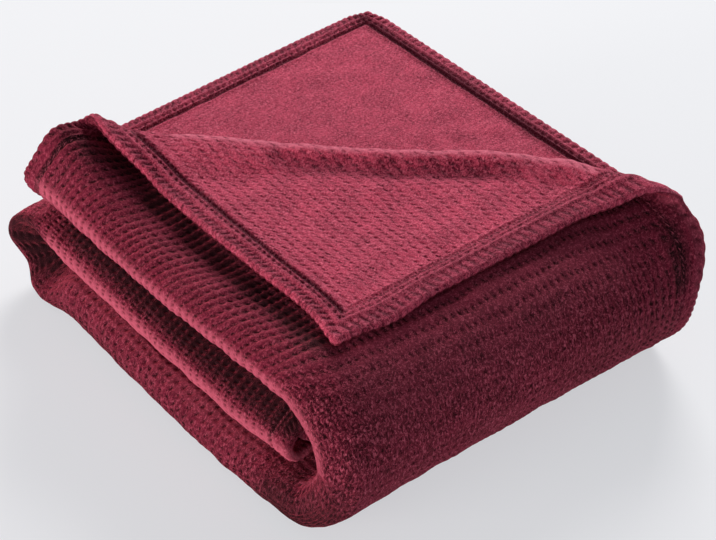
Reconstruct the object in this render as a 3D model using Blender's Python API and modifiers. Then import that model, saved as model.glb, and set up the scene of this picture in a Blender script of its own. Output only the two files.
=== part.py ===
"""Folded throw blanket: one waffle-fleece cloth, folded in four one way and in three the other.

The cloth is drawn flat, with rows of points gathered where it bends, and then folded point by point:

1. The top corner is turned forward over a slanting ridge.
2. The long way, the cloth lies in four layers, a, b, c and d, held inside the fold a-b.
3. Crosswise, the four layers together lie in three tiers: the top tier wraps around the front and
   under the stack, and the bottom tier turns back at the rear into the middle one.

Units are metres. +Z is up, the front wrap faces -Y, the three stacked fold edges face -X, and the
stack stands on z = 0.
"""

from __future__ import annotations

import math
from dataclasses import dataclass
from typing import Sequence

import bmesh
import bpy
import numpy as np
from mathutils import Vector

# --- the cloth -----------------------------------------------------------------------------------
CLOTH_LONG = 1.524
CLOTH_WIDE = 1.270
CLOTH_THICK = 0.0060
HEM_THICK = 0.0088
HEM_WIDTH = 0.024
HEM_STEP = 0.005
HEM_LIFT = (HEM_THICK - CLOTH_THICK) / 2
CORNER_PULL = 0.005
CORNER_REACH = 0.030
RASPBERRY = (0.330, 0.048, 0.085, 1.0)
FLEECE_ROUGHNESS = 0.95

# --- the folded stack ----------------------------------------------------------------------------
LAYER_PITCH = 0.012
TIER_PITCH = 0.054
OUTER_LEVEL = 1.5 * LAYER_PITCH
INNER_LEVEL = 0.5 * LAYER_PITCH
TIER_LEVELS = (0.5 * TIER_PITCH, 1.5 * TIER_PITCH, 2.5 * TIER_PITCH)
FLOOR_LIFT = TIER_LEVELS[0] - OUTER_LEVEL - CLOTH_THICK / 2
RIGHT_HEM_X = 0.381
LEFT_EDGE_X = 0.003
REAR_HEM_Y = 0.429
WRAP_CENTRE_Y = 0.075
WRAP_FOOT_Y = 0.063
TURN_CENTRE_Y = 0.406
MIDDLE_HEM_Y = 0.066
EDGE_REACH = 0.044
REAR_SKEW = 0.012
SKEW_REACH = 0.200

# --- the turned corner ---------------------------------------------------------------------------
RIDGE_DISTANCE = 0.323
RIDGE_BEND = 0.160
FLAP_HOVER = 0.0096
FLAP_SETTLE = 0.030
TURNED_REACH = 0.600
CUT_SNAP = 0.0012


@dataclass(frozen=True)
class Stop:
    """A place that the cloth reaches on its folded path, seen from the side.

    Attributes:
        name: What lies there.
        across: Level position of the cloth's middle.
        level: Height of the cloth's middle.
        leaves: How the cloth gets here from the stop before: "straight", "level" for a quarter
            bend that starts level, or "upright" for one that starts upright.
        parts: Rows of faces on the way here.
        slip: How far the cloth lies ahead of the plain stack here, along the tiers.
    """

    name: str
    across: float
    level: float
    leaves: str
    parts: int
    slip: float = 0.0


LAYER_STOPS = (
    Stop("hem of a", RIGHT_HEM_X, OUTER_LEVEL, "straight", 0, 0.042),
    Stop("start of fold a-b", 0.055, OUTER_LEVEL, "straight", 9, 0.033),
    Stop("edge of fold a-b", LEFT_EDGE_X, 0.0, "level", 5, 0.012),
    Stop("end of fold a-b", 0.018, -OUTER_LEVEL, "upright", 3, 0.004),
    Stop("start of fold b-c", 0.376, -OUTER_LEVEL, "straight", 8, -0.003),
    Stop("edge of fold b-c", 0.382, -LAYER_PITCH, "level", 2, -0.004),
    Stop("end of fold b-c", 0.376, -INNER_LEVEL, "upright", 2, -0.005),
    Stop("start of fold c-d", 0.029, -INNER_LEVEL, "straight", 8, 0.008),
    Stop("edge of fold c-d", 0.023, 0.0, "level", 2, 0.010),
    Stop("end of fold c-d", 0.029, INNER_LEVEL, "upright", 2, 0.010),
    Stop("hem of d", 0.385, INNER_LEVEL, "straight", 8),
)

TIER_STOPS = (
    Stop("rear hem", REAR_HEM_Y, TIER_LEVELS[2], "straight", 0),
    Stop("start of front wrap", WRAP_CENTRE_Y, TIER_LEVELS[2], "straight", 9),
    Stop("front of wrap", WRAP_CENTRE_Y - TIER_PITCH, TIER_LEVELS[1], "level", 5),
    Stop("end of front wrap", WRAP_FOOT_Y, TIER_LEVELS[0], "upright", 5),
    Stop("start of rear turn", TURN_CENTRE_Y, TIER_LEVELS[0], "straight", 7),
    Stop("back of rear turn", TURN_CENTRE_Y + TIER_PITCH / 2, TIER_PITCH, "level", 4),
    Stop("end of rear turn", TURN_CENTRE_Y, TIER_LEVELS[1], "upright", 4),
    Stop("hem inside the wrap", MIDDLE_HEM_Y, TIER_LEVELS[1], "straight", 6),
)


def smooth(value: np.ndarray, start: float, end: float) -> np.ndarray:
    """Soft step from 0 at start to 1 at end."""
    x = np.clip((value - start) / (end - start), 0.0, 1.0)
    return x * x * (3.0 - 2.0 * x)


def hump(value: np.ndarray, centre: float, reach: float) -> np.ndarray:
    """Soft hump of height 1 at centre, down to nothing at reach to either side."""
    return 1.0 - smooth(np.abs(value - centre), 0.0, reach)


class FoldedPath:
    """A path of straight stretches and quarter bends through a row of stops.

    Args:
        stops: Where the cloth goes.
        length: Length of cloth laid along the path.
    """

    def __init__(self, stops: Sequence[Stop], length: float) -> None:
        self.stops = stops
        spans = [self._span(a, b) for a, b in zip(stops, stops[1:])]
        self.marks = np.concatenate([[0.0], np.cumsum(spans)]) * length / sum(spans)

    @staticmethod
    def _span(first: Stop, last: Stop) -> float:
        """Length of one stretch; a quarter bend counts as a quarter of an ellipse."""
        wide, high = abs(last.across - first.across), abs(last.level - first.level)
        if last.leaves == "straight":
            return math.hypot(wide, high)
        return math.pi / 4 * (3 * (wide + high) - math.sqrt((3 * wide + high) * (wide + 3 * high)))

    def mark(self, name: str) -> float:
        """Distance along the cloth at which the named stop lies."""
        return float(self.marks[[stop.name for stop in self.stops].index(name)])

    def rows(self) -> np.ndarray:
        """Distances along the cloth at which its rows of points lie."""
        length = self.marks[-1]
        edges = np.array([0.0, HEM_WIDTH, HEM_WIDTH + HEM_STEP])
        starts = [edges[-1], *self.marks[1:-1], length - edges[-1]]
        rows = [edges[:-1]]
        for start, end, stop in zip(starts, starts[1:], self.stops[1:]):
            rows.append(np.linspace(start, end, stop.parts, endpoint=False))
        return np.concatenate([*rows, length - edges[::-1]])

    def place(self, distance: np.ndarray) -> tuple[np.ndarray, np.ndarray]:
        """Points of the path and their outward normals, at distances along the cloth."""
        point = np.zeros(distance.shape + (2,))
        ahead = np.zeros(distance.shape + (2,))
        for i, (first, last) in enumerate(zip(self.stops, self.stops[1:])):
            low = self.marks[i] if i else -np.inf
            high = self.marks[i + 1] if i + 2 < len(self.stops) else np.inf
            here = (distance >= low) & (distance < high)
            share = (distance[here] - self.marks[i]) / (self.marks[i + 1] - self.marks[i])
            wide, rise = last.across - first.across, last.level - first.level
            turn = share * math.pi / 2
            if last.leaves == "straight":
                step, slope = (wide * share, rise * share), (wide + 0 * share, rise + 0 * share)
            elif last.leaves == "level":
                step = wide * np.sin(turn), rise * (1 - np.cos(turn))
                slope = wide * np.cos(turn), rise * np.sin(turn)
            else:
                step = wide * (1 - np.cos(turn)), rise * np.sin(turn)
                slope = wide * np.sin(turn), rise * np.cos(turn)
            point[here] = np.stack([first.across + step[0], first.level + step[1]], -1)
            ahead[here] = np.stack(slope, -1)
        ahead /= np.linalg.norm(ahead, axis=-1, keepdims=True)
        return point, np.stack([ahead[..., 1], -ahead[..., 0]], -1)


LAYERS = FoldedPath(LAYER_STOPS, CLOTH_LONG)
TIERS = FoldedPath(TIER_STOPS, CLOTH_WIDE)


@dataclass(frozen=True)
class Ridge:
    """How the turned corner's ridge looks at one place along it.

    Attributes:
        along: Distance along the ridge from its middle; positive towards the left edge.
        radius: Radius of the roll, at the cloth's middle.
        bow: How far the ridge stands out towards the rear corner.
    """

    along: float
    radius: float
    bow: float


RIDGE = (
    Ridge(-0.24, 0.0062, -0.004),
    Ridge(-0.16, 0.0068, 0.010),
    Ridge(-0.08, 0.0075, 0.018),
    Ridge(0.02, 0.0085, 0.010),
    Ridge(0.12, 0.0100, 0.005),
    Ridge(0.24, 0.0115, 0.002),
)
RIDGE_CUTS = (-0.060, -0.046, -0.036, -0.027, -0.019, -0.012, -0.006, 0.0, 0.006, 0.012, 0.019, 0.030)


@dataclass(frozen=True)
class Edge:
    """Shape of the left fold edge at one place along the tiers.

    Attributes:
        name: Where it is.
        along: Distance along the tiers, from the rear hem.
        out: How far the edge moves out, towards -X.
        reach: How far in from the edge the outer layer starts to curve down.
        outer: Level of the outer layer there, as a share of its plain level.
        inner: Level of the inner layer, likewise; negative where it crosses the middle.
    """

    name: str
    along: float
    out: float
    reach: float
    outer: float
    inner: float


EDGES = (
    Edge("top tier, rear", 0.000, 0.002, 0.032, 1.45, 1.20),
    Edge("top tier, middle", 0.180, 0.001, 0.046, 0.98, 1.12),
    Edge("top tier, front", 0.330, -0.003, 0.044, 0.95, 0.95),
    Edge("front of wrap", 0.435, -0.004, 0.030, 0.98, 0.90),
    Edge("end of wrap", 0.512, 0.004, 0.012, 1.00, 0.88),
    Edge("bottom tier, front", 0.610, 0.004, 0.011, 1.00, 0.66),
    Edge("bottom tier, middle", 0.705, 0.003, 0.012, 1.00, 1.00),
    Edge("bottom tier, rear", 0.810, 0.000, 0.014, 1.00, 1.32),
    Edge("start of rear turn", 0.850, 0.000, 0.020, 1.00, -0.40),
    Edge("foot of rear turn", 0.871, 0.002, 0.024, 1.45, -0.85),
    Edge("back of rear turn", 0.892, 0.002, 0.026, 1.65, -1.00),
    Edge("shoulder of rear turn", 0.913, 0.000, 0.028, 1.05, -0.25),
    Edge("end of rear turn", 0.934, 0.000, 0.030, 0.80, 0.50),
    Edge("middle tier, rear", 0.990, -0.002, 0.034, 1.16, 0.95),
    Edge("middle tier, middle", 1.100, -0.004, 0.034, 1.08, 1.42),
    Edge("middle tier, front", 1.200, -0.004, 0.034, 1.12, 1.56),
    Edge("middle tier, hem", 1.270, -0.006, 0.030, 1.05, 0.90),
)


@dataclass(frozen=True)
class Swell:
    """A soft place where the outer layers stand up from the stack.

    Attributes:
        name: Where it is.
        x: Place across the stack.
        along: Distance along the tiers, from the rear hem.
        wide: Reach across the stack.
        long: Reach along the tiers.
        high: How far it stands up, or down if negative.
    """

    name: str
    x: float
    along: float
    wide: float
    long: float
    high: float


SWELLS = (
    Swell("loop at the rear left", 0.030, 0.015, 0.078, 0.140, 0.0215),
    Swell("loop at the front right", 0.385, 0.400, 0.110, 0.070, 0.0040),
    Swell("belly of the wrap", 0.230, 0.410, 0.190, 0.080, 0.0020),
    Swell("hollow behind the ridge", 0.250, 0.110, 0.120, 0.120, -0.0020),
    Swell("hollow beside the flap", 0.020, 0.250, 0.060, 0.100, -0.0020),
)


def turn_corner(s: np.ndarray, t: np.ndarray) -> tuple[np.ndarray, np.ndarray, np.ndarray]:
    """Turn the cloth's first corner forward over the slanting ridge.

    Args:
        s: Distance along the cloth's long way from the corner.
        t: Distance along its short way from the corner.

    Returns:
        Where each point lies on the flat cloth below, as two distances, and its height above it.
    """
    root = math.sqrt(2.0)
    far, along = (s + t) / root, (s - t) / root
    places, radii, bows = columns(RIDGE, "along", "radius", "bow")
    radius, bow = np.interp(along, places, radii), np.interp(along, places, bows)
    start = RIDGE_DISTANCE / root + math.pi * radius / 2
    angle = np.clip((start - far) / radius, 0.0, math.pi)
    past = np.maximum(start - far - math.pi * radius, 0.0)
    near = np.where(far < start, start - radius * np.sin(angle) + past, far)
    settle = smooth(past, 0.0, FLAP_SETTLE)
    height = radius * (1 - np.cos(angle)) * (1 - settle) + FLAP_HOVER * settle
    height = np.where(far < start, height, 0.0)
    near = near - bow * hump(near, RIDGE_DISTANCE / root, RIDGE_BEND)
    return (near + along) / root, (near - along) / root, height


def columns(rows: Sequence[object], *names: str) -> list[np.ndarray]:
    """Columns of a table, as arrays."""
    return [np.array([getattr(row, name) for row in rows]) for name in names]


def hem(distance: np.ndarray) -> np.ndarray:
    """1 on the turned hem, 0 on the plain cloth, by distance from the cloth's edge."""
    return 1.0 - smooth(distance, HEM_WIDTH, HEM_WIDTH + HEM_STEP)


def slip(s: np.ndarray, t: np.ndarray) -> np.ndarray:
    """How far each layer lies ahead of the plain stack; it ends where the wrap does."""
    (slips,) = columns(LAYER_STOPS, "slip")
    top = 1.0 - smooth(t, TIERS.mark("start of front wrap"), TIERS.mark("end of front wrap"))
    return np.interp(s, LAYERS.marks, slips) * top


def shape(s: np.ndarray, t: np.ndarray) -> np.ndarray:
    """Fold the flat cloth.

    Args:
        s: Distance along the cloth's long way, from the corner that is turned forward.
        t: Distance along its short way, from the same corner.

    Returns:
        Points in space, one for each place on the cloth.
    """
    s, t, height = turn_corner(s, t)
    along = t + slip(s, t)
    places, out, reach, outer_share, inner_share = columns(
        EDGES, "along", "out", "reach", "outer", "inner"
    )
    rise, plump = (outer_share - inner_share) / 2 * OUTER_LEVEL, (outer_share + inner_share) / 2
    point, normal = LAYERS.place(s)
    x, level = point[:, 0], point[:, 1]
    outer = s < LAYERS.mark("edge of fold a-b")
    plain, wanted = LAYER_STOPS[1].across - LEFT_EDGE_X, np.interp(along, places, reach)
    inside = np.minimum((x - LEFT_EDGE_X) / plain, 1.0)
    beyond = np.maximum(x - LEFT_EDGE_X - plain, 0.0) / (RIGHT_HEM_X - LEFT_EDGE_X - plain)
    bent = LEFT_EDGE_X + wanted * inside + (RIGHT_HEM_X - LEFT_EDGE_X - wanted) * beyond
    x = np.where(outer, bent, x) + height * normal[:, 0]
    level = level + height * normal[:, 1] - HEM_LIFT * hem(s) * (height == 0.0)

    near_edge = 1.0 - smooth(x, 0.0, EDGE_REACH)
    x = x - near_edge * np.interp(along, places, out)
    level = level * (1 + near_edge * (np.interp(along, places, plump) - 1))
    level = level + near_edge * np.interp(along, places, rise)
    upper = smooth(level, -OUTER_LEVEL, OUTER_LEVEL)
    for row in SWELLS:
        level = level + row.high * upper * hump(x, row.x, row.wide) * hump(along, row.along, row.long)

    centre, upward = TIERS.place(along)
    y = centre[:, 0] + level * upward[:, 0]
    z = centre[:, 1] + level * upward[:, 1] - FLOOR_LIFT
    y = y + REAR_SKEW * x / RIGHT_HEM_X * (1.0 - smooth(along, 0.0, SKEW_REACH))
    return np.stack([x, y, z], -1)


def flat_cloth() -> bmesh.types.BMesh:
    """The flat cloth, with rows of points gathered at its folds and along the ridge."""
    across, rows = LAYERS.rows(), TIERS.rows()
    cloth = bmesh.new()
    bmesh.ops.create_grid(cloth, x_segments=len(across) - 1, y_segments=len(rows) - 1, size=1.0)
    for vert in cloth.verts:
        i = round((vert.co.x + 1) / 2 * (len(across) - 1))
        j = round((vert.co.y + 1) / 2 * (len(rows) - 1))
        vert.co = (across[i], rows[j], 0.0)
    slant = Vector((1.0, 1.0, 0.0)).normalized()
    for cut in RIDGE_CUTS:
        turned = [face for face in cloth.faces if sum(face.calc_center_median()) < TURNED_REACH]
        geometry = {item for face in turned for item in (face, *face.edges, *face.verts)}
        middle = slant * (RIDGE_DISTANCE / math.sqrt(2.0) + cut)
        bmesh.ops.bisect_plane(
            cloth, geom=list(geometry), dist=CUT_SNAP, plane_co=middle, plane_no=slant
        )
    return cloth


def round_corners(flat: np.ndarray) -> np.ndarray:
    """Draw the cloth's four corners in a little, as its turned hems do."""
    size = np.array([CLOTH_LONG, CLOTH_WIDE])
    edge = np.minimum(flat, size - flat)
    pull = CORNER_PULL * hump(edge, 0.0, CORNER_REACH).prod(axis=1, keepdims=True)
    return flat + pull * np.sign(size / 2 - flat)


def fleece() -> bpy.types.Material:
    """Raspberry polyester fleece, quite matt."""
    material = bpy.data.materials.new("raspberry_fleece")
    material.use_nodes = True
    shader = material.node_tree.nodes["Principled BSDF"]
    shader.inputs["Base Color"].default_value = RASPBERRY
    shader.inputs["Roughness"].default_value = FLEECE_ROUGHNESS
    shader.inputs["Metallic"].default_value = 0.0
    return material


def build_cloth(collection: bpy.types.Collection) -> bpy.types.Object:
    """Fold the flat cloth and give it its thickness, with thicker hems."""
    cloth = flat_cloth()
    flat = np.array([vert.co[:2] for vert in cloth.verts])
    from_edge = np.minimum(flat, (CLOTH_LONG, CLOTH_WIDE) - flat).min(axis=1)
    for vert, place in zip(cloth.verts, shape(*round_corners(flat).T)):
        vert.co = place
    mesh = bpy.data.meshes.new("throw_blanket")
    cloth.to_mesh(mesh)
    cloth.free()
    mesh.shade_smooth()
    mesh.materials.append(fleece())
    blanket = bpy.data.objects.new("throw_blanket", mesh)
    collection.objects.link(blanket)
    hem_group = blanket.vertex_groups.new(name="hem")
    for index, weight in enumerate(hem(from_edge)):
        hem_group.add([index], float(weight), "REPLACE")
    thick = blanket.modifiers.new("thickness", "SOLIDIFY")
    thick.thickness = HEM_THICK
    thick.thickness_vertex_group = CLOTH_THICK / HEM_THICK
    thick.vertex_group = hem_group.name
    thick.offset = 0.0
    return blanket


def stand_on_origin(blanket: bpy.types.Object) -> None:
    """Move the blanket so that the origin is in the middle of its box, on the underside."""
    bpy.context.view_layer.update()
    solid = blanket.evaluated_get(bpy.context.evaluated_depsgraph_get())
    corners = np.array([corner[:] for corner in solid.bound_box])
    middle = (corners.min(axis=0) + corners.max(axis=0)) / 2
    blanket.location = (-middle[0], -middle[1], -corners[:, 2].min())


def main() -> None:
    """Clear the file and build the blanket in a collection of its own."""
    for old in list(bpy.data.objects):
        bpy.data.objects.remove(old, do_unlink=True)
    collection = bpy.data.collections.new("throw_blanket")
    bpy.context.scene.collection.children.link(collection)
    stand_on_origin(build_cloth(collection))


main()
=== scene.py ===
"""Folded throw blanket in raspberry waffle fleece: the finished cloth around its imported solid.

Units are metres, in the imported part's frame: +Z is up, the front wrap faces -Y and the three stacked
fold edges face -X. A place on the flat cloth is (s, t): s runs along its long way and t along its
short way, both from the corner that is turned forward. The cloth has a waffle face and a napped
reverse. Folding carries each (s, t) to a point in space, and both faces stand off that point along
the cloth's normal.
"""

import logging
import math
from dataclasses import dataclass
from enum import Enum
from typing import Sequence

import bpy
import numpy as np
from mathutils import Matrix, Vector


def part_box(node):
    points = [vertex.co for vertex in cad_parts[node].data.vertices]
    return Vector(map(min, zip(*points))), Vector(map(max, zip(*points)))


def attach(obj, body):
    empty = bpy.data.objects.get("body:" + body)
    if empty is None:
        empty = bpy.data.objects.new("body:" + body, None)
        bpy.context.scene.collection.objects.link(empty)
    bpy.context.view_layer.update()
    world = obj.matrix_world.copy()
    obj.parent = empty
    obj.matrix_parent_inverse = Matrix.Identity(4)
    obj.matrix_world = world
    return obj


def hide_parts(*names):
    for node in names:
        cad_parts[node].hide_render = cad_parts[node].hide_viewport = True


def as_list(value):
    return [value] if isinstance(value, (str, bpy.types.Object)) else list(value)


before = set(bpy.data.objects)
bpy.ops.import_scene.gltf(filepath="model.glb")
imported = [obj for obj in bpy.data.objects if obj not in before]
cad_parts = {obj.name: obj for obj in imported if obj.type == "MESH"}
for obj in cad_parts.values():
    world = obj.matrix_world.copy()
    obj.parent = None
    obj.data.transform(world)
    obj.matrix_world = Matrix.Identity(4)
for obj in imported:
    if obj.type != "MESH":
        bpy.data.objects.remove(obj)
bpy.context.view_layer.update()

LOG = logging.getLogger("throw_blanket")
NODE = "throw_blanket"
BODY = "root"
MM = 0.001
SAME_PLACE = 0.001 * MM
NO_LENGTH = 1e-12


# --- small shared tools --------------------------------------------------------------------------
def linear(hex_colour: str) -> tuple[float, float, float, float]:
    """Turn an sRGB hex colour into linear values.

    Args:
        hex_colour: Six hex digits after a #.

    Returns:
        Linear red, green, blue and an alpha of 1.
    """
    channels = [int(hex_colour[i : i + 2], 16) / 255 for i in (1, 3, 5)]
    parts = [c / 12.92 if c <= 0.04045 else ((c + 0.055) / 1.055) ** 2.4 for c in channels]
    return (*parts, 1.0)


def smooth(value: np.ndarray, start: float, end: float) -> np.ndarray:
    """Soft step, 3x^2 - 2x^3, from 0 at start to 1 at end."""
    x = np.clip((value - start) / (end - start), 0.0, 1.0)
    return x * x * (3.0 - 2.0 * x)


def hump(value: np.ndarray, centre: float, reach: float) -> np.ndarray:
    """Soft hump of height 1 at centre, down to nothing at reach to either side."""
    return 1.0 - smooth(np.abs(value - centre), 0.0, reach)


def unit(vectors: np.ndarray) -> np.ndarray:
    """Vectors made length 1 along the last axis, and nothing where they have no length."""
    return vectors / np.maximum(np.linalg.norm(vectors, axis=-1, keepdims=True), NO_LENGTH)


def columns(rows: Sequence[object], *names: str) -> list[np.ndarray]:
    """Columns of a table, as arrays."""
    return [np.array([getattr(row, name) for row in rows]) for name in names]


def through(x: np.ndarray, places: np.ndarray, values: np.ndarray) -> np.ndarray:
    """Smooth curve through a table's rows.

    A cubic runs between each two rows. Its slope at a row is the harmonic mean of the slopes beside
    it, or 0 where they differ in sign, so the curve never swings past a row. It is flat beyond the
    ends.

    Args:
        x: Where to read the curve.
        places: Places of the rows, in rising order.
        values: Values at the rows.

    Returns:
        The curve's values at x.
    """
    gap = np.diff(places)
    slope = np.diff(values) / gap
    product = slope[:-1] * slope[1:]
    total = np.where(product > 0, slope[:-1] + slope[1:], 1.0)
    at_row = np.concatenate([[0.0], np.where(product > 0, 2 * product / total, 0.0), [0.0]])
    i = np.clip(np.searchsorted(places, x, side="right") - 1, 0, len(gap) - 1)
    u = np.clip((x - places[i]) / gap[i], 0.0, 1.0)
    rise = at_row[i] * gap[i] * u * (1 - u) ** 2 - at_row[i + 1] * gap[i] * u * u * (1 - u)
    return values[i] + (values[i + 1] - values[i]) * u * u * (3 - 2 * u) + rise


def from_line(
    s: np.ndarray, t: np.ndarray, start: tuple[float, float], end: tuple[float, float],
) -> np.ndarray:
    """Distance of each place from the straight line between two places of the flat cloth.

    Args:
        s: Distances along the cloth's long way.
        t: Distances along its short way.
        start: The line's first end, as (s, t).
        end: Its other end.

    Returns:
        The distances, to the line's nearest point.
    """
    ahead = np.subtract(end, start)
    share = ((s - start[0]) * ahead[0] + (t - start[1]) * ahead[1]) / (ahead @ ahead)
    share = np.clip(share, 0.0, 1.0)
    return np.hypot(s - start[0] - share * ahead[0], t - start[1] - share * ahead[1])


def ripple(
    s: np.ndarray, t: np.ndarray, size: float, seed: int, waves: int = 9,
    spread: tuple[float, float] = (0.7, 1.6),
) -> np.ndarray:
    """Smooth uneven field, about -1 to 1: a sum of sines of random direction, length and phase.

    Args:
        s: First coordinate.
        t: Second coordinate.
        size: Usual distance from a hump to the next.
        seed: Seed of the draw.
        waves: How many sines are added.
        spread: Lengths of the shortest and the longest sine, as shares of that distance.

    Returns:
        The field's height at each place.
    """
    draw = np.random.default_rng(seed)
    turns = draw.uniform(0.0, 2 * math.pi, waves)
    lengths = size * draw.uniform(*spread, waves)
    phases = draw.uniform(0.0, 2 * math.pi, waves)
    total = np.zeros(np.broadcast(s, t).shape)
    for turn, length, phase in zip(turns, lengths, phases):
        total += np.sin((s * math.cos(turn) + t * math.sin(turn)) * 2 * math.pi / length + phase)
    return total / math.sqrt(waves)


def new_piece(
    name: str, points: np.ndarray, faces: list[list[int]], materials: Sequence[bpy.types.Material],
) -> bpy.types.Object:
    """Add a smooth shaded piece to the scene, with its place in its mesh.

    Args:
        name: Name of the piece.
        points: Its points, one in each row.
        faces: Its faces, as numbers of points.
        materials: Its materials, in the order of their slots.

    Returns:
        The new object.
    """
    mesh = bpy.data.meshes.new(name)
    mesh.from_pydata(points.tolist(), [], faces)
    mesh.polygons.foreach_set("use_smooth", np.ones(len(faces), dtype=bool))
    for material in materials:
        mesh.materials.append(material)
    mesh.update()
    piece = bpy.data.objects.new(name, mesh)
    bpy.context.scene.collection.objects.link(piece)
    return piece


# --- the cloth -----------------------------------------------------------------------------------
class Side(Enum):
    """The cloth's two faces; the value is the way that each stands off the middle."""

    FACE = 1.0
    REVERSE = -1.0


@dataclass(frozen=True)
class ClothSizes:
    """The cloth as it is cut and hemmed.

    Attributes:
        long: Length along s.
        wide: Length along t.
        thick: Thickness of the plain cloth, with its pile.
        hem_thick: Thickness of the turned hem.
        hem_width: Width of the turned hem.
        hem_step: Width over which the hem thins to the plain cloth.
        corner_pull: How far a corner is drawn in.
        tip_pull: The same at the corner that is turned forward, which is drawn out.
        corner_reach: How far from a corner the drawing in reaches.
        waffle_s: Pitch of the waffle along s.
        waffle_t: Pitch of the waffle along t.
    """

    long: float = 1.524
    wide: float = 1.270
    thick: float = 6.0 * MM
    hem_thick: float = 8.8 * MM
    hem_width: float = 24.0 * MM
    hem_step: float = 5.0 * MM
    corner_pull: float = 5.0 * MM
    tip_pull: float = -3.0 * MM
    corner_reach: float = 30.0 * MM
    waffle_s: float = 6.7 * MM
    waffle_t: float = 8.1 * MM

    def from_edge(self, s: np.ndarray, t: np.ndarray) -> tuple[np.ndarray, np.ndarray]:
        """Distances from the nearest edge across s and from the nearest edge across t."""
        return np.minimum(s, self.long - s), np.minimum(t, self.wide - t)

    def hem(self, distance: np.ndarray) -> np.ndarray:
        """1 on the turned hem, 0 on the plain cloth, by distance from the cloth's edge."""
        return 1.0 - smooth(distance, self.hem_width, self.hem_width + self.hem_step)


# --- the fold ------------------------------------------------------------------------------------
class Bend(Enum):
    """How the cloth gets to a stop: straight, or in a quarter bend that starts level or upright."""

    STRAIGHT = "straight"
    LEVEL = "level"
    UPRIGHT = "upright"


@dataclass(frozen=True)
class Stop:
    """A place that the cloth reaches on its folded path, seen from the side.

    Attributes:
        name: What lies there.
        across: Level position of the cloth's middle.
        level: Height of the cloth's middle.
        bend: How the cloth gets here from the stop before.
        slip: How far the cloth lies ahead of the plain stack here, along the tiers.
    """

    name: str
    across: float
    level: float
    bend: Bend = Bend.STRAIGHT
    slip: float = 0.0


@dataclass
class FoldedPath:
    """A path of straight stretches and quarter bends through a row of stops.

    Attributes:
        stops: Where the cloth goes.
        length: Length of cloth laid along the path.
    """

    stops: tuple[Stop, ...]
    length: float

    def __post_init__(self) -> None:
        """Share the cloth's length out over the stretches."""
        spans = [self._span(a, b) for a, b in zip(self.stops, self.stops[1:])]
        self.marks = np.concatenate([[0.0], np.cumsum(spans)]) * self.length / sum(spans)

    @staticmethod
    def _span(first: Stop, last: Stop) -> float:
        """Length of one stretch; a quarter bend counts as a quarter of an ellipse.

        Args:
            first: Where the stretch starts.
            last: Where it ends, and how the cloth gets there.

        Returns:
            The length: straight, or pi / 4 (3 (a + b) - sqrt((3 a + b) (a + 3 b))) for an ellipse
            of half widths a and b.
        """
        wide, high = abs(last.across - first.across), abs(last.level - first.level)
        if last.bend is Bend.STRAIGHT:
            return math.hypot(wide, high)
        return math.pi / 4 * (3 * (wide + high) - math.sqrt((3 * wide + high) * (wide + 3 * high)))

    def mark(self, name: str) -> float:
        """Distance along the cloth at which the named stop lies."""
        return float(self.marks[[stop.name for stop in self.stops].index(name)])

    def place(self, distance: np.ndarray) -> tuple[np.ndarray, np.ndarray]:
        """Follow the path: straight lines, and quarter ellipses by their angle.

        Args:
            distance: Distances along the cloth.

        Returns:
            Points of the path and its outward normals, each as (across, level).
        """
        point = np.zeros(distance.shape + (2,))
        ahead = np.zeros(distance.shape + (2,))
        for i, (first, last) in enumerate(zip(self.stops, self.stops[1:])):
            low = self.marks[i] if i else -np.inf
            high = self.marks[i + 1] if i + 2 < len(self.stops) else np.inf
            here = (distance >= low) & (distance < high)
            share = (distance[here] - self.marks[i]) / (self.marks[i + 1] - self.marks[i])
            wide, rise = last.across - first.across, last.level - first.level
            turn = share * math.pi / 2
            if last.bend is Bend.STRAIGHT:
                step, slope = (wide * share, rise * share), (wide + 0 * share, rise + 0 * share)
            elif last.bend is Bend.LEVEL:
                step = wide * np.sin(turn), rise * (1 - np.cos(turn))
                slope = wide * np.cos(turn), rise * np.sin(turn)
            else:
                step = wide * (1 - np.cos(turn)), rise * np.sin(turn)
                slope = wide * np.sin(turn), rise * np.cos(turn)
            point[here] = np.stack([first.across + step[0], first.level + step[1]], -1)
            ahead[here] = np.stack(slope, -1)
        ahead = unit(ahead)
        return point, np.stack([ahead[..., 1], -ahead[..., 0]], -1)


@dataclass(frozen=True)
class Ridge:
    """How the turned corner's ridge looks at one place along it.

    Attributes:
        along: Distance along the ridge from its middle; positive towards the left edge.
        radius: Radius of the roll, at the cloth's middle.
        bow: How far the ridge stands out towards the rear corner.
        settle: Over what distance the flap sinks from the roll to where it lies.
    """

    along: float
    radius: float
    bow: float
    settle: float


@dataclass(frozen=True)
class FoldEdge:
    """Shape of the left fold edge at one place along the tiers.

    Attributes:
        name: Where it is.
        along: Distance along the tiers, from the rear hem.
        out: How far the edge moves out, towards -X.
        reach: How far in from the edge the outer layer starts to curve down.
        outer: Level of the outer layer there, as a share of its plain level.
        inner: Level of the inner layer, likewise; negative where it crosses the middle.
    """

    name: str
    along: float
    out: float
    reach: float
    outer: float
    inner: float


@dataclass(frozen=True)
class Swell:
    """A soft place where the outer layers stand up from the stack.

    Attributes:
        name: Where it is.
        x: Place across the stack.
        along: Distance along the tiers, from the rear hem.
        wide: Reach across the stack.
        long: Reach along the tiers.
        high: How far it stands up, or down if negative.
        out: How far it also moves towards +X.
        flap: How much of this the turned flap above follows.
    """

    name: str
    x: float
    along: float
    wide: float
    long: float
    high: float
    out: float = 0.0
    flap: float = 1.0


@dataclass(frozen=True)
class Drift:
    """A place where the cloth's edge wanders from its straight line.

    Attributes:
        name: Where it is.
        s: Its middle along s.
        t: Its middle along t.
        reach_s: How far it reaches along s.
        reach_t: How far it reaches along t.
        move_s: How far the cloth is taken along s.
        move_t: How far the cloth is taken along t.
    """

    name: str
    s: float
    t: float
    reach_s: float
    reach_t: float
    move_s: float
    move_t: float


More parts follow.
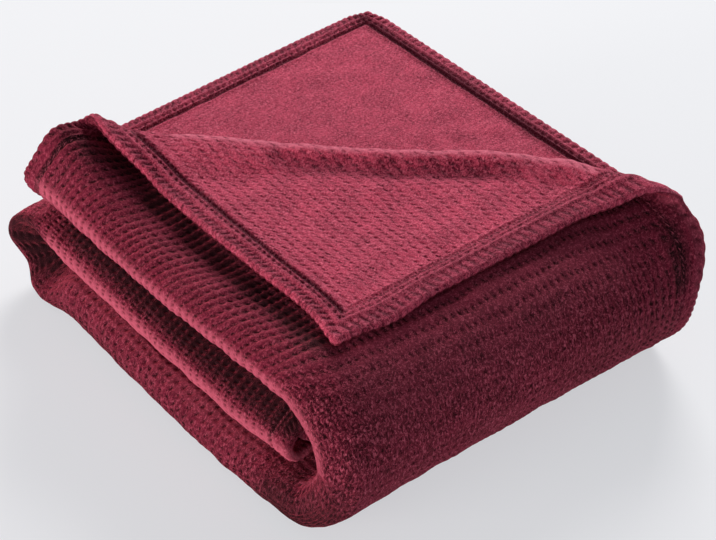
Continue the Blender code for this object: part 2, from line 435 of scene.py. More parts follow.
@dataclass(frozen=True)
class Crease:
    """A soft trough or ridge in the cloth along a line from one place to another.

    Attributes:
        name: Where it is.
        start: Its first end on the flat cloth, as (s, t).
        end: Its other end.
        wide: Reach to either side of the line.
        high: How far the cloth moves towards its waffle face; negative towards the reverse.
    """

    name: str
    start: tuple[float, float]
    end: tuple[float, float]
    wide: float
    high: float


@dataclass
class BlanketFold:
    """The whole fold: the turned corner, four layers along X and three tiers along Y.

    The layers are called a to d, from the outside in: fold a-b is at the left, b-c at the right and
    c-d at the left again, inside. The four together then make the three tiers.

    Attributes:
        cloth: Sizes of the flat cloth.
        origin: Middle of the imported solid's box, from the fold's own front left corner, as (x, y).
        layer_pitch: Distance from a layer to the next, at the middles of the cloth.
        tier_pitch: Distance from a tier to the next.
        right_hem_x: Where the outer layer's right hem lies.
        left_edge_x: Where the outer fold's left edge lies.
        rear_hem_y: Where the top tier's rear hem lies.
        wrap_centre_y: Where the top tier starts to bend down into the front wrap.
        wrap_foot_y: Where the wrap has turned in under the stack.
        turn_centre_y: Where the bottom tier starts its turn at the rear.
        middle_hem_y: Where the middle tier's hem lies, inside the wrap.
        edge_reach: How far from the left edge the table of edges is felt.
        rear_skew: How far the rear hem runs back towards the right.
        skew_reach: How far from the rear hem that skew reaches.
        ridge_distance: Distance of the turned corner's ridge from the corner, along either edge.
        ridge_bend: Reach of the ridge's bow to either side of it.
        flap_hover: Height at which the turned flap lies.
        tip_droop: How far its tip hangs down.
        tip_reach: How far from the tip that droop reaches.
        ridge: How the ridge looks, from right to left.
        edges: How the left fold edge looks, along the tiers.
        swells: Where the outer layers stand up or sink.
        drifts: Where the hems wander.
        creases: Creases of the turned flap.
    """

    cloth: ClothSizes
    origin: tuple[float, float]
    layer_pitch: float = 12.0 * MM
    tier_pitch: float = 54.0 * MM
    right_hem_x: float = 381.0 * MM
    left_edge_x: float = 3.0 * MM
    rear_hem_y: float = 429.0 * MM
    wrap_centre_y: float = 75.0 * MM
    wrap_foot_y: float = 63.0 * MM
    turn_centre_y: float = 406.0 * MM
    middle_hem_y: float = 66.0 * MM
    edge_reach: float = 44.0 * MM
    rear_skew: float = 12.0 * MM
    skew_reach: float = 200.0 * MM
    ridge_distance: float = 323.0 * MM
    ridge_bend: float = 160.0 * MM
    flap_hover: float = 8.2 * MM
    tip_droop: float = 2.4 * MM
    tip_reach: float = 70.0 * MM

    ridge: tuple[Ridge, ...] = (
        Ridge(-0.24, 0.0052, -0.008, 0.030),
        Ridge(-0.20, 0.0062, 0.001, 0.028),
        Ridge(-0.15, 0.0086, 0.0165, 0.022),
        Ridge(-0.10, 0.0096, 0.0180, 0.020),
        Ridge(-0.02, 0.0098, 0.0110, 0.021),
        Ridge(0.06, 0.0096, 0.0085, 0.024),
        Ridge(0.14, 0.0100, 0.0115, 0.050),
        Ridge(0.24, 0.0115, 0.0120, 0.070),
    )
    edges: tuple[FoldEdge, ...] = (
        FoldEdge("top tier, rear", 0.000, 0.000, 0.033, 1.02, 1.05),
        FoldEdge("top tier, middle", 0.180, 0.001, 0.046, 0.98, 1.12),
        FoldEdge("top tier, front", 0.330, -0.003, 0.044, 0.95, 0.95),
        FoldEdge("front of wrap", 0.435, -0.004, 0.030, 0.98, 0.90),
        FoldEdge("end of wrap", 0.512, 0.004, 0.012, 1.00, 0.88),
        FoldEdge("bottom tier, front", 0.610, 0.007, 0.011, 1.00, 0.66),
        FoldEdge("bottom tier, middle", 0.705, 0.006, 0.012, 1.00, 1.00),
        FoldEdge("bottom tier, rear", 0.810, 0.003, 0.014, 1.00, 1.32),
        FoldEdge("start of rear turn", 0.848, 0.004, 0.020, 1.00, -0.40),
        FoldEdge("lobe below the rear loop", 0.861, 0.003, 0.022, 1.20, -0.65),
        FoldEdge("foot of rear turn", 0.875, -0.006, 0.024, 1.50, -0.90),
        FoldEdge("back of rear turn", 0.892, 0.002, 0.026, 1.65, -1.00),
        FoldEdge("shoulder of rear turn", 0.913, 0.000, 0.028, 1.05, -0.25),
        FoldEdge("end of rear turn", 0.934, 0.000, 0.030, 0.80, 0.50),
        FoldEdge("middle tier, rear", 0.990, -0.002, 0.034, 0.70, 1.25),
        FoldEdge("middle tier, middle", 1.100, -0.004, 0.034, 0.35, 1.62),
        FoldEdge("middle tier, front", 1.200, -0.004, 0.034, 0.30, 1.66),
        FoldEdge("middle tier, hem", 1.270, -0.006, 0.030, 0.45, 1.20),
    )
    swells: tuple[Swell, ...] = (
        Swell("loop at the rear left", 0.028, 0.015, 0.052, 0.130, 0.0285),
        Swell("outer side of that loop", 0.000, 0.015, 0.024, 0.100, -0.0110),
        Swell("loop at the front right", 0.395, 0.388, 0.070, 0.060, 0.0040, 0.0150),
        Swell("belly of the wrap", 0.230, 0.410, 0.190, 0.080, 0.0020),
        Swell("foot of the wrap", 0.220, 0.485, 0.320, 0.070, -0.0040),
        Swell("hollow behind the ridge", 0.250, 0.110, 0.120, 0.120, -0.0020),
        Swell("hollow below the flap's left hem", 0.048, 0.200, 0.036, 0.200, -0.0065, flap=0.0),
        Swell("hollow above the middle tier", 0.036, 1.130, 0.050, 0.150, -0.0090),
        Swell("hollow below its front hem", 0.320, 0.378, 0.110, 0.045, -0.0080, flap=0.0),
    )
    drifts: tuple[Drift, ...] = (
        Drift("front hem by the tip", 0.0, 0.048, 0.060, 0.055, -0.0050, 0.0),
        Drift("front hem by the right", 0.0, 0.220, 0.060, 0.090, -0.0025, 0.0),
        Drift("left hem by the tip", 0.045, 0.0, 0.060, 0.060, 0.0, 0.0030),
        Drift("left hem, further back", 0.190, 0.0, 0.090, 0.060, 0.0, -0.0035),
        Drift("left hem by the ridge", 0.285, 0.0, 0.050, 0.050, 0.0, -0.0070),
        Drift("right hem by the ridge", 0.0, 0.345, 0.060, 0.050, -0.0075, 0.0),
    )
    creases: tuple[Crease, ...] = (
        Crease("trough below the ridge", (0.080, 0.207), (0.195, 0.094), 0.014, 0.0034),
        Crease("flap behind the trough", (0.070, 0.190), (0.150, 0.110), 0.030, -0.0012),
        Crease("fold from the right end", (0.045, 0.235), (0.120, 0.130), 0.016, -0.0010),
        Crease("swell beside the front hem", (0.055, 0.060), (0.050, 0.210), 0.022, -0.0012),
        Crease("dent in the flap", (0.130, 0.050), (0.090, 0.120), 0.035, 0.0012),
    )

    def __post_init__(self) -> None:
        """Lay the two paths: the cloth's long way through the layers, its short way through the tiers."""
        outer, inner = 1.5 * self.layer_pitch, 0.5 * self.layer_pitch
        low, middle, high = (share * self.tier_pitch for share in (0.5, 1.5, 2.5))
        self.outer_level = outer
        self.floor_lift = low - outer - self.cloth.thick / 2
        self.layers = FoldedPath(
            (
                Stop("hem of a", self.right_hem_x, outer, Bend.STRAIGHT, 0.042),
                Stop("start of fold a-b", 0.055, outer, Bend.STRAIGHT, 0.033),
                Stop("edge of fold a-b", self.left_edge_x, 0.0, Bend.LEVEL, 0.012),
                Stop("end of fold a-b", 0.018, -outer, Bend.UPRIGHT, 0.004),
                Stop("start of fold b-c", 0.376, -outer, Bend.STRAIGHT, -0.003),
                Stop("edge of fold b-c", 0.382, -self.layer_pitch, Bend.LEVEL, -0.004),
                Stop("end of fold b-c", 0.376, -inner, Bend.UPRIGHT, -0.005),
                Stop("start of fold c-d", 0.029, -inner, Bend.STRAIGHT, 0.008),
                Stop("edge of fold c-d", 0.023, 0.0, Bend.LEVEL, 0.010),
                Stop("end of fold c-d", 0.029, inner, Bend.UPRIGHT, 0.010),
                Stop("hem of d", 0.385, inner),
            ),
            self.cloth.long,
        )
        turn = self.tier_pitch / 2
        self.tiers = FoldedPath(
            (
                Stop("rear hem", self.rear_hem_y, high),
                Stop("start of front wrap", self.wrap_centre_y, high),
                Stop("front of wrap", self.wrap_centre_y - self.tier_pitch, middle, Bend.LEVEL),
                Stop("end of front wrap", self.wrap_foot_y, low, Bend.UPRIGHT),
                Stop("start of rear turn", self.turn_centre_y, low),
                Stop("back of rear turn", self.turn_centre_y + turn, self.tier_pitch, Bend.LEVEL),
                Stop("end of rear turn", self.turn_centre_y, middle, Bend.UPRIGHT),
                Stop("hem inside the wrap", self.middle_hem_y, middle),
            ),
            self.cloth.wide,
        )
        self.centre = np.array([*self.origin, 0.0])

    def _turn_corner(self, s: np.ndarray, t: np.ndarray) -> tuple[np.ndarray, ...]:
        """Turn the cloth's first corner forward: a half turn round a slanting roll, then down.

        Args:
            s: Distances along the cloth's long way.
            t: Distances along its short way.

        Returns:
            Where each point lies on the flat cloth below, as two distances, and its height above.
        """
        root = math.sqrt(2.0)
        far, along = (s + t) / root, (s - t) / root
        places, *shapes = columns(self.ridge, "along", "radius", "bow", "settle")
        radius, bow, sinks = (through(along, places, shape) for shape in shapes)
        start = self.ridge_distance / root + math.pi * radius / 2
        angle = np.clip((start - far) / radius, 0.0, math.pi)
        past = np.maximum(start - far - math.pi * radius, 0.0)
        near = np.where(far < start, start - radius * np.sin(angle) + past, far)
        settle = smooth(past / sinks, 0.0, 1.0)
        height = radius * (1 - np.cos(angle)) * (1 - settle) + self.flap_hover * settle
        height = height - self.tip_droop * hump(far, 0.0, self.tip_reach)
        height = np.where(far < start, height, 0.0)
        near = near - bow * hump(near, self.ridge_distance / root, self.ridge_bend)
        return (near + along) / root, (near - along) / root, height

    def _drift(self, s: np.ndarray, t: np.ndarray) -> tuple[np.ndarray, np.ndarray]:
        """Take the cloth along itself by a soft hump at each drift.

        Args:
            s: Distances along the cloth's long way.
            t: Distances along its short way.

        Returns:
            The two distances after the drifts.
        """
        move_s, move_t = np.zeros(s.shape), np.zeros(s.shape)
        for row in self.drifts:
            share = hump(s, row.s, row.reach_s) * hump(t, row.t, row.reach_t)
            move_s, move_t = move_s + row.move_s * share, move_t + row.move_t * share
        return s + move_s, t + move_t

    def _round_corners(self, s: np.ndarray, t: np.ndarray) -> tuple[np.ndarray, np.ndarray]:
        """Draw the cloth's four corners in a little, by a hump around each.

        Args:
            s: Distances along the cloth's long way.
            t: Distances along its short way.

        Returns:
            The two distances after the drawing in.
        """
        cloth = self.cloth
        by_s, by_t = cloth.from_edge(s, t)
        pull = hump(by_s, 0.0, cloth.corner_reach) * hump(by_t, 0.0, cloth.corner_reach)
        turned = (s < cloth.long / 2) & (t < cloth.wide / 2)
        pull = pull * np.where(turned, cloth.tip_pull, cloth.corner_pull)
        return s + pull * np.sign(cloth.long / 2 - s), t + pull * np.sign(cloth.wide / 2 - t)

    def middle(self, s: np.ndarray, t: np.ndarray) -> np.ndarray:
        """Fold the cloth's middle.

        The layers give x and a level, the tiers turn that level into y and z. Near the left edge
        the level is scaled and lifted by the table of edges, and the swells lift the upper layers.

        Args:
            s: Distances along the cloth's long way.
            t: Distances along its short way.

        Returns:
            Points in space, one for each place on the cloth.
        """
        cloth, layers, tiers = self.cloth, self.layers, self.tiers
        s, t, height = self._turn_corner(*self._round_corners(*self._drift(s, t)))
        (slips,) = columns(layers.stops, "slip")
        top = 1.0 - smooth(t, tiers.mark("start of front wrap"), tiers.mark("end of front wrap"))
        along = t + through(s, layers.marks, slips) * top
        places, *shares = columns(self.edges, "along", "out", "reach", "outer", "inner")
        out, reach, outer_share, inner_share = (through(along, places, share) for share in shares)
        rise = (outer_share - inner_share) / 2 * self.outer_level
        plump = (outer_share + inner_share) / 2

        point, normal = layers.place(s)
        x, level = point[..., 0], point[..., 1]
        plain = layers.stops[1].across - self.left_edge_x
        wide = self.right_hem_x - self.left_edge_x
        inside = np.minimum((x - self.left_edge_x) / plain, 1.0)
        beyond = np.maximum(x - self.left_edge_x - plain, 0.0) / (wide - plain)
        bent = self.left_edge_x + reach * inside + (wide - reach) * beyond
        x = np.where(s < layers.mark("edge of fold a-b"), bent, x) + height * normal[..., 0]
        flat = 1.0 - smooth(height, 0.0, self.flap_hover / 2)
        lift = (cloth.hem_thick - cloth.thick) / 2 * cloth.hem(s) * flat
        level = level + height * normal[..., 1] - lift

        near_edge = 1.0 - smooth(x, 0.0, self.edge_reach)
        x = x - near_edge * out
        level = level * (1 + near_edge * (plump - 1)) + near_edge * rise
        upper = smooth(level, -self.outer_level, self.outer_level)
        plain_x = x
        for row in self.swells:
            share = upper * hump(plain_x, row.x, row.wide) * hump(along, row.along, row.long)
            share = share * (row.flap + (1.0 - row.flap) * flat)
            level, x = level + row.high * share, x + row.out * share

        centre, upward = tiers.place(along)
        y = centre[..., 0] + level * upward[..., 0]
        z = centre[..., 1] + level * upward[..., 1] - self.floor_lift
        y = y + self.rear_skew * x / self.right_hem_x * (1.0 - smooth(along, 0.0, self.skew_reach))
        return np.stack([x, y, z], -1) - self.centre

    def crease(self, s: np.ndarray, t: np.ndarray) -> np.ndarray:
        """Height of the creases: a hump across each line, fading out past its ends.

        Args:
            s: Distances along the cloth's long way.
            t: Distances along its short way.

        Returns:
            How far each place moves towards the waffle face.
        """
        total = np.zeros(np.broadcast(s, t).shape)
        for row in self.creases:
            total += row.high * hump(from_line(s, t, row.start, row.end), 0.0, row.wide)
        return total


# --- the relief ----------------------------------------------------------------------------------
@dataclass(frozen=True)
class HemRow:
    """Height of the turned hem at one distance from the cloth's edge.

    Attributes:
        name: What lies there.
        distance: Distance from the cloth's edge.
        reverse: Height of the reverse there, from the cloth's middle.
        face: Height of the waffle face there, from the cloth's middle.
    """

    name: str
    distance: float
    reverse: float
    face: float


@dataclass(frozen=True)
class PaintedShadingStroke:
    """A line along which light is painted into the pile's colour: a painted highlight, or painted shade where
    the share is negative.

    Attributes:
        name: Where it is.
        side: Which face it is on.
        start: Its first end on the flat cloth, as (s, t).
        end: Its other end.
        wide: Reach to either side of the line.
        share: How much painted highlight lies there; negative for painted shade.
    """

    name: str
    side: Side
    start: tuple[float, float]
    end: tuple[float, float]
    wide: float
    share: float


@dataclass(frozen=True)
class WafflePitch:
    """Pitch of the waffle along t, at one distance from the cloth's edge.

    Attributes:
        t: The distance.
        pitch: The pitch there, which grows where the cloth is drawn round a fold.
    """

    t: float
    pitch: float


@dataclass(frozen=True)
class Onset:
    """A stretch of the cloth, along s or along t, over which something sets in.

    Attributes:
        start: Where it starts to show.
        end: Where it shows in full.
        share: How much of it shows then.
    """

    start: float
    end: float
    share: float = 1.0

    def at(self, distance: np.ndarray) -> np.ndarray:
        """How much of it shows: a soft step from 0 to the share."""
        return self.share * smooth(distance, self.start, self.end)


@dataclass
class FleeceRelief:
    """Relief of the cloth's two faces: the waffle, the reverse's dashes and the turned, stitched hem, with
    the light and shade painted on them.

    Attributes:
        cloth: Sizes of the cloth.
        waffle_deep: Depth of the face's pits.
        waffle_sharp: How narrow the pits are, along s and along t.
        waffle_mix: Shares of the pits, of the rows along t and of the lines along s.
        waffle_from: Where the waffle starts, from the cloth's edge.
        nap_deep: Depth of the reverse's dashes.
        dash_lean: How far a dash leans, as a share of its pitch.
        dash_sharp: How narrow the dashes are, along s and along t.
        bar_deep: Depth of the gaps between the hem's ribs.
        bar_at: Middle of the ribs, from the cloth's edge.
        bar_reach: Reach of the ribs to either side of it.
        bar_crown: Power of the ribs' fading out, below 1 for a broad middle.
        bar_sharp: How narrow the gaps are.
        bar_slant: How far a rib leans over its reach, as a share of its pitch.
        roll_share: How deep the gaps still are on the rolled edge.
        dot_deep: Depth of the reverse's row of dots.
        dots_at: Middle of the dots, from the cloth's edge.
        dot_reach: Reach of a dot to either side of it.
        dot_sharp: How narrow a dot is along its row.
        groove_at: Middle of the stitched groove, from the cloth's edge.
        groove_reach: Reach of its shade to either side of it.
        groove_crown: Power of that shade's fading out.
        gap_sharp: How narrow the shade between the ribs is, on the face and on the reverse.
        groove_calm: How much of the waffle the groove's stitches press flat.
        calm_reach: How far from the groove they do.
        front_fill: How full of pile the groove is along the front hem.
        fill_reach: How far from the groove's middle that pile reaches.
        fill_low: How far its top lies below the rolled edge.
        front_bars: How much fainter the ribs are along the front hem.
        front_dots: How much fainter the dots are there.
        hidden_face: How much of the waffle brushed pile hides.
        hidden_reverse: How much of the dashes it hides.
        fade: How much the depths differ from place to place.
        fade_size: Distance over which they do.
        unevenness: Height of the cloth's slow unevenness.
        uneven_size: Distance from one hump of it to the next.
        warp: How far the waffle is drawn out of true.
        warp_size: Distance over which it is.
        patch: How much the brushing differs from patch to patch.
        patch_size: Distance from patch to patch.
        patch_range: Least and most brushing of a patch.
        wrap_top: Where the brushing sets in on the wrap, along t.
        wrap_right: Where it sets in beside the wrap's right hem, along s.
        wrap_foot: Where it thins at the wrap's foot, along t.
        below_wrap: Where it thins again below the wrap.
        inner_layer: Where it sets in on the inner layers, along s.
        row_share: How far the pits run together along s on the top tier.
        line_share: How far they run together along t on the wrap.
        rows_end: Where the top tier's rows end, along t.
        lines_top: Where the wrap's lines set in at its top.
        lines_right: Where they fade, away from the right hem.
        lines_foot: Where they set in again at the wrap's foot.
        lines_end: Where they end there.
        pitch_steps: Steps of the sum over the waffle's pitch.
        hem_rows: Cross section of the hem.
        pitches: Pitch of the waffle along t.
        strokes: Where light and shade are painted on the pile.
    """

    cloth: ClothSizes
    waffle_deep: float = 1.6 * MM
    waffle_sharp: tuple[float, float] = (0.8, 1.2)
    waffle_mix: tuple[float, float, float] = (0.84, 0.10, 0.06)
    waffle_from: Onset = Onset(0.010, 0.014)
    nap_deep: float = 0.7 * MM
    dash_lean: float = 0.22
    dash_sharp: tuple[float, float] = (1.0, 2.0)
    bar_deep: float = 1.7 * MM
    bar_at: float = 7.0 * MM
    bar_reach: float = 5.0 * MM
    bar_crown: float = 0.7
    bar_sharp: float = 1.6
    bar_slant: float = 0.30
    roll_share: float = 0.35
    dot_deep: float = 1.3 * MM
    dots_at: float = 15.8 * MM
    dot_reach: float = 2.5 * MM
    dot_sharp: float = 1.2
    groove_at: float = 20.5 * MM
    groove_reach: float = 3.4 * MM
    groove_crown: float = 0.6
    gap_sharp: tuple[float, float] = (2.0, 1.5)
    groove_calm: float = 0.6
    calm_reach: float = 4.0 * MM
    front_fill: float = 0.70
    fill_reach: float = 5.0 * MM
    fill_low: float = 0.4 * MM
    front_bars: float = 0.25
    front_dots: float = 0.5
    hidden_face: float = 0.50
    hidden_reverse: float = 0.8
    fade: float = 0.30
    fade_size: float = 70.0 * MM
    unevenness: float = 0.45 * MM
    uneven_size: float = 28.0 * MM
    warp: float = 0.9 * MM
    warp_size: float = 50.0 * MM
    patch: float = 0.20
    patch_size: float = 80.0 * MM
    patch_range: tuple[float, float] = (0.5, 1.2)
    wrap_top: Onset = Onset(0.325, 0.365)
    wrap_right: Onset = Onset(0.00, 0.14)
    wrap_foot: Onset = Onset(0.41, 0.47, 0.38)
    below_wrap: Onset = Onset(0.52, 0.58, 0.34)
    inner_layer: Onset = Onset(1.00, 1.10)
    row_share: float = 0.28
    line_share: float = 0.45
    rows_end: Onset = Onset(0.31, 0.36)
    lines_top: Onset = Onset(0.33, 0.37)
    lines_right: Onset = Onset(0.08, 0.18)
    lines_foot: Onset = Onset(0.42, 0.46)
    lines_end: Onset = Onset(0.52, 0.56)
    pitch_steps: int = 1300

    hem_rows: tuple[HemRow, ...] = (
        HemRow("rolled edge", 0.0040, 0.0045, 0.0044),
        HemRow("back of the roll", 0.0070, 0.0043, 0.0044),
        HemRow("foot of the ribs", 0.0095, 0.0038, 0.0042),
        HemRow("raised band", 0.0125, 0.0051, 0.0047),
        HemRow("row of dots", 0.0158, 0.0038, 0.0040),
        HemRow("thin ridge", 0.0178, 0.0043, 0.0042),
        HemRow("near side of the groove", 0.0192, 0.0020, 0.0022),
        HemRow("far side of the groove", 0.0216, 0.0014, 0.0017),
        HemRow("inner ridge", 0.0238, 0.0042, 0.0039),
        HemRow("plain cloth", 0.0280, 0.0030, 0.0030),
    )
    pitches: tuple[WafflePitch, ...] = (
        WafflePitch(0.00, 0.0077),
        WafflePitch(0.12, 0.0081),
        WafflePitch(0.22, 0.0087),
        WafflePitch(0.34, 0.0093),
        WafflePitch(1.30, 0.0093),
    )
    # Painted light and shade: the positive strokes are painted highlights on rims, edges, rolls and the
    # crest; the negative ones are painted shade under and behind the flap's hems, in gaps, the trough, the
    # rear loop and on faces turned from the light.
    strokes: tuple[PaintedShadingStroke, ...] = (
        PaintedShadingStroke("rim of the top tier", Side.FACE, (0.394, 0.030), (0.394, 0.420), 0.017, 0.75),
        PaintedShadingStroke("edge of the middle tier", Side.FACE, (0.398, 0.950), (0.403, 1.270), 0.034, 1.05),
        PaintedShadingStroke("gap above the middle tier", Side.FACE, (0.346, 0.970), (0.350, 1.270), 0.036, -1.00),
        PaintedShadingStroke("gap below the middle tier", Side.FACE, (0.430, 0.980), (0.430, 1.270), 0.012, -0.05),
        PaintedShadingStroke("side of the bottom tier", Side.FACE, (0.396, 0.520), (0.402, 0.860), 0.040, -0.06),
        PaintedShadingStroke("shoulder of the bottom tier", Side.FACE, (0.412, 0.560), (0.412, 0.850), 0.020, 0.26),
        PaintedShadingStroke("foot of the bottom tier", Side.FACE, (0.360, 0.480), (0.366, 0.860), 0.036, -0.45),
        PaintedShadingStroke("corner of the wrap", Side.FACE, (0.372, 0.455), (0.382, 0.500), 0.060, -0.58),
        PaintedShadingStroke("rim of the wrap", Side.FACE, (0.404, 0.420), (0.410, 0.500), 0.008, 0.65),
        PaintedShadingStroke("roll of the right hem", Side.FACE, (0.002, 0.320), (0.002, 0.440), 0.012, 0.40),
        PaintedShadingStroke("below the roll of the right hem", Side.FACE, (0.021, 0.340), (0.023, 0.380), 0.011, -0.50),
        PaintedShadingStroke("inside of the rear loop", Side.FACE, (0.432, 0.868), (0.404, 0.912), 0.044, -1.50),
        PaintedShadingStroke("below the flap's left hem", Side.FACE, (0.327, 0.100), (0.329, 0.312), 0.018, -0.90),
        PaintedShadingStroke("behind the flap's left hem", Side.FACE, (0.327, 0.050), (0.327, 0.099), 0.017, -0.60),
        PaintedShadingStroke("behind the lifted corner", Side.FACE, (0.349, 0.018), (0.334, 0.048), 0.020, -0.45),
        PaintedShadingStroke("foot of the wrap", Side.FACE, (0.020, 0.520), (0.380, 0.520), 0.040, -0.25),
        PaintedShadingStroke("top of the wrap", Side.FACE, (0.080, 0.350), (0.300, 0.356), 0.050, 0.14),
        PaintedShadingStroke("lower right of the wrap", Side.FACE, (0.030, 0.420), (0.120, 0.415), 0.070, -0.20),
        PaintedShadingStroke("left hem of the flap", Side.REVERSE, (0.030, 0.006), (0.300, 0.006), 0.022, -0.32),
        PaintedShadingStroke("trough", Side.REVERSE, (0.068, 0.219), (0.192, 0.093), 0.017, -0.32),
        PaintedShadingStroke("crest", Side.REVERSE, (0.030, 0.277), (0.262, 0.045), 0.009, 0.60),
        PaintedShadingStroke("right hand end of the trough", Side.REVERSE, (0.022, 0.262), (0.060, 0.226), 0.018, -0.10),
        PaintedShadingStroke("front hem of the flap", Side.REVERSE, (0.008, 0.020), (0.008, 0.290), 0.024, -0.40),
        PaintedShadingStroke("right hem of the layer below", Side.REVERSE, (1.506, 0.010), (1.506, 0.360), 0.013, -0.68),
        PaintedShadingStroke("roll of that hem", Side.REVERSE, (1.521, 0.000), (1.521, 0.360), 0.008, 0.10),
        PaintedShadingStroke("its rear hem", Side.REVERSE, (1.200, 0.010), (1.510, 0.010), 0.010, -0.28),
        PaintedShadingStroke("roll of its rear hem", Side.REVERSE, (1.200, 0.001), (1.520, 0.001), 0.004, 0.50),
    )

    def __post_init__(self) -> None:
        """Add up the waffle's turns along t: the sum of 1 / pitch."""
        places, pitch = columns(self.pitches, "t", "pitch")
        self.t_fine = np.linspace(0.0, places[-1], self.pitch_steps + 1)
        rate = 1.0 / through(self.t_fine, places, pitch)
        steps = np.diff(self.t_fine) * (rate[1:] + rate[:-1]) / 2
        self.t_turns = np.concatenate([[0.0], np.cumsum(steps)])

    def weave(self, s: np.ndarray, t: np.ndarray) -> tuple[np.ndarray, np.ndarray]:
        """Waffle coordinates, with a pit at each whole number, and drawn a little out of true.

        Args:
            s: Distances along the cloth's long way.
            t: Distances along its short way.

        Returns:
            Pitches counted along s and along t.
        """
        shift_s = self.warp * ripple(s, t, self.warp_size, seed=11)
        shift_t = self.warp * ripple(s, t, self.warp_size, seed=12)
        return (s + shift_s) / self.cloth.waffle_s, np.interp(t + shift_t, self.t_fine, self.t_turns)

    @staticmethod
    def wave(turns: np.ndarray, sharp: float = 1.0) -> np.ndarray:
        """1 at each whole number and 0 half way between, narrower the sharper it is."""
        return (0.5 + 0.5 * np.cos(2 * math.pi * turns)) ** sharp

    def front_hem(self, s: np.ndarray, t: np.ndarray) -> np.ndarray:
        """Which places are nearest to the front hem, the turned flap's and the wrap's right edge."""
        by_s, by_t = self.cloth.from_edge(s, t)
        return (by_s < by_t) & (s < self.cloth.long / 2)

    def brushed(self, s: np.ndarray, t: np.ndarray) -> np.ndarray:
        """Where the pile hides the waffle: on the wrap, the lower tiers and the inner layers.

        Args:
            s: Distances along the cloth's long way.
            t: Distances along its short way.

        Returns:
            0 for plain waffle and about 1 where it is hidden.
        """
        thinner = self.wrap_foot.at(t) + self.below_wrap.at(t)
        wrap = self.wrap_top.at(t) * self.wrap_right.at(s) * (1.0 - thinner)
        patchy = (1.0 + self.patch * ripple(s, t, self.patch_size, seed=16)).clip(*self.patch_range)
        return wrap * (s < self.cloth.long / 2) * patchy + self.inner_layer.at(s)

    def ribs(self, s: np.ndarray, t: np.ndarray) -> np.ndarray:
        """How far the pits run together into rows on the top tier and into lines on the wrap.

        Args:
            s: Distances along the cloth's long way.
            t: Distances along its short way.

        Returns:
            Above 0 where they run together along s, below 0 where they do along t.
        """
        rows = (1.0 - self.rows_end.at(t)) * (s < self.cloth.long / 2)
        lines = self.lines_top.at(t) * (1.0 - self.lines_right.at(s))
        lines = np.maximum(lines, self.lines_foot.at(t) * (1.0 - self.lines_end.at(t)))
        return self.row_share * rows - self.line_share * lines

    def painted_shading(self, s: np.ndarray, t: np.ndarray, side: Side) -> np.ndarray:
        """Painted light and shade on the pile: a hump across each stroke of this side.

        Args:
            s: Distances along the cloth's long way.
            t: Distances along its short way.
            side: Which face.

        Returns:
            The share of painted highlight, below 0 for painted shade.
        """
        total = np.zeros(s.shape)
        for row in self.strokes:
            if row.side is side:
                total += row.share * hump(from_line(s, t, row.start, row.end), 0.0, row.wide)
        return total

    def hem_marks(self, s: np.ndarray, t: np.ndarray) -> tuple[np.ndarray, np.ndarray]:
        """Slanting gaps between the ribs of the hem's roll, and its row of dots.

        Both are waves along the hem, times a hump across it. The gaps run on round the rolled edge.

        Args:
            s: Distances along the cloth's long way.
            t: Distances along its short way.

        Returns:
            The gaps and the dots, each from 0 to 1.
        """
        by_s, by_t = self.cloth.from_edge(s, t)
        u, v = self.weave(s, t)
        distance, run = np.minimum(by_s, by_t), np.where(by_s < by_t, v, u)
        front = self.front_hem(s, t)
        slant = self.bar_slant * (distance - self.bar_at) / self.bar_reach
        across = np.maximum(
            hump(distance, self.bar_at, self.bar_reach) ** self.bar_crown,
            self.roll_share * (1.0 - smooth(distance, self.bar_at, self.bar_at + self.bar_reach)),
        )
        bars = self.wave(run + slant, self.bar_sharp) * (across * (1.0 - self.front_bars * front))
        dots = self.wave(run + 0.5, self.dot_sharp) * hump(distance, self.dots_at, self.dot_reach)
        return bars, dots * (1.0 - self.front_dots * front)

    def half(self, s: np.ndarray, t: np.ndarray, side: Side) -> np.ndarray:
        """Distance of one face from the cloth's middle.

        Plain cloth has the waffle's pits cut into its face: a broad dip in each row and column,
        deepest where the two cross. The reverse has a soft slanting dash over each pit. The hem
        follows its table of rows, with its ribs and dots.

        Args:
            s: Distances along the cloth's long way.
            t: Distances along its short way.
            side: Which face.

        Returns:
            The distance, for each place.
        """
        cloth = self.cloth
        distance = np.minimum(*cloth.from_edge(s, t))
        places, profile = columns(self.hem_rows, "distance", side.name.lower())
        height = through(distance, places, profile)
        filled = self.front_fill * self.front_hem(s, t) * hump(distance, self.groove_at, self.fill_reach)
        height = height + filled * (profile[0] - self.fill_low - height)
        plain = 1.0 - cloth.hem(distance + cloth.hem_step)
        u, v = self.weave(s, t)
        fade = 1.0 + self.fade * ripple(s, t, self.fade_size, seed=14)
        bars, dots = self.hem_marks(s, t)
        if side is Side.FACE:
            across, down = (self.wave(turns, sharp) for turns, sharp in zip((u, v), self.waffle_sharp))
            ribs = self.ribs(s, t)
            rows = across + (1.0 - across) * ribs.clip(0.0, 1.0)
            lines = down + (1.0 - down) * (-ribs).clip(0.0, 1.0)
            of_pits, of_rows, of_lines = self.waffle_mix
            cells = of_pits * rows * lines + of_rows * across + of_lines * down
            pressed = self.groove_calm * hump(distance, self.groove_at, self.calm_reach)
            fade = fade * (1.0 - self.hidden_face * self.brushed(s, t))
            share = self.waffle_from.at(distance) * (1 - pressed)
            height = height - self.waffle_deep * fade * cells * share
        else:
            leaning = u + self.dash_lean * np.sin(2 * math.pi * v)
            sharp_s, sharp_t = self.dash_sharp
            dashes = self.wave(leaning, sharp_s) * self.wave(v, sharp_t)
            fade = fade * (1.0 - self.hidden_reverse * self.brushed(s, t))
            height = height - self.nap_deep * fade * dashes * plain - self.dot_deep * dots
        height = height - self.bar_deep * bars
        return height + self.unevenness * ripple(s, t, self.uneven_size, seed=15) * plain

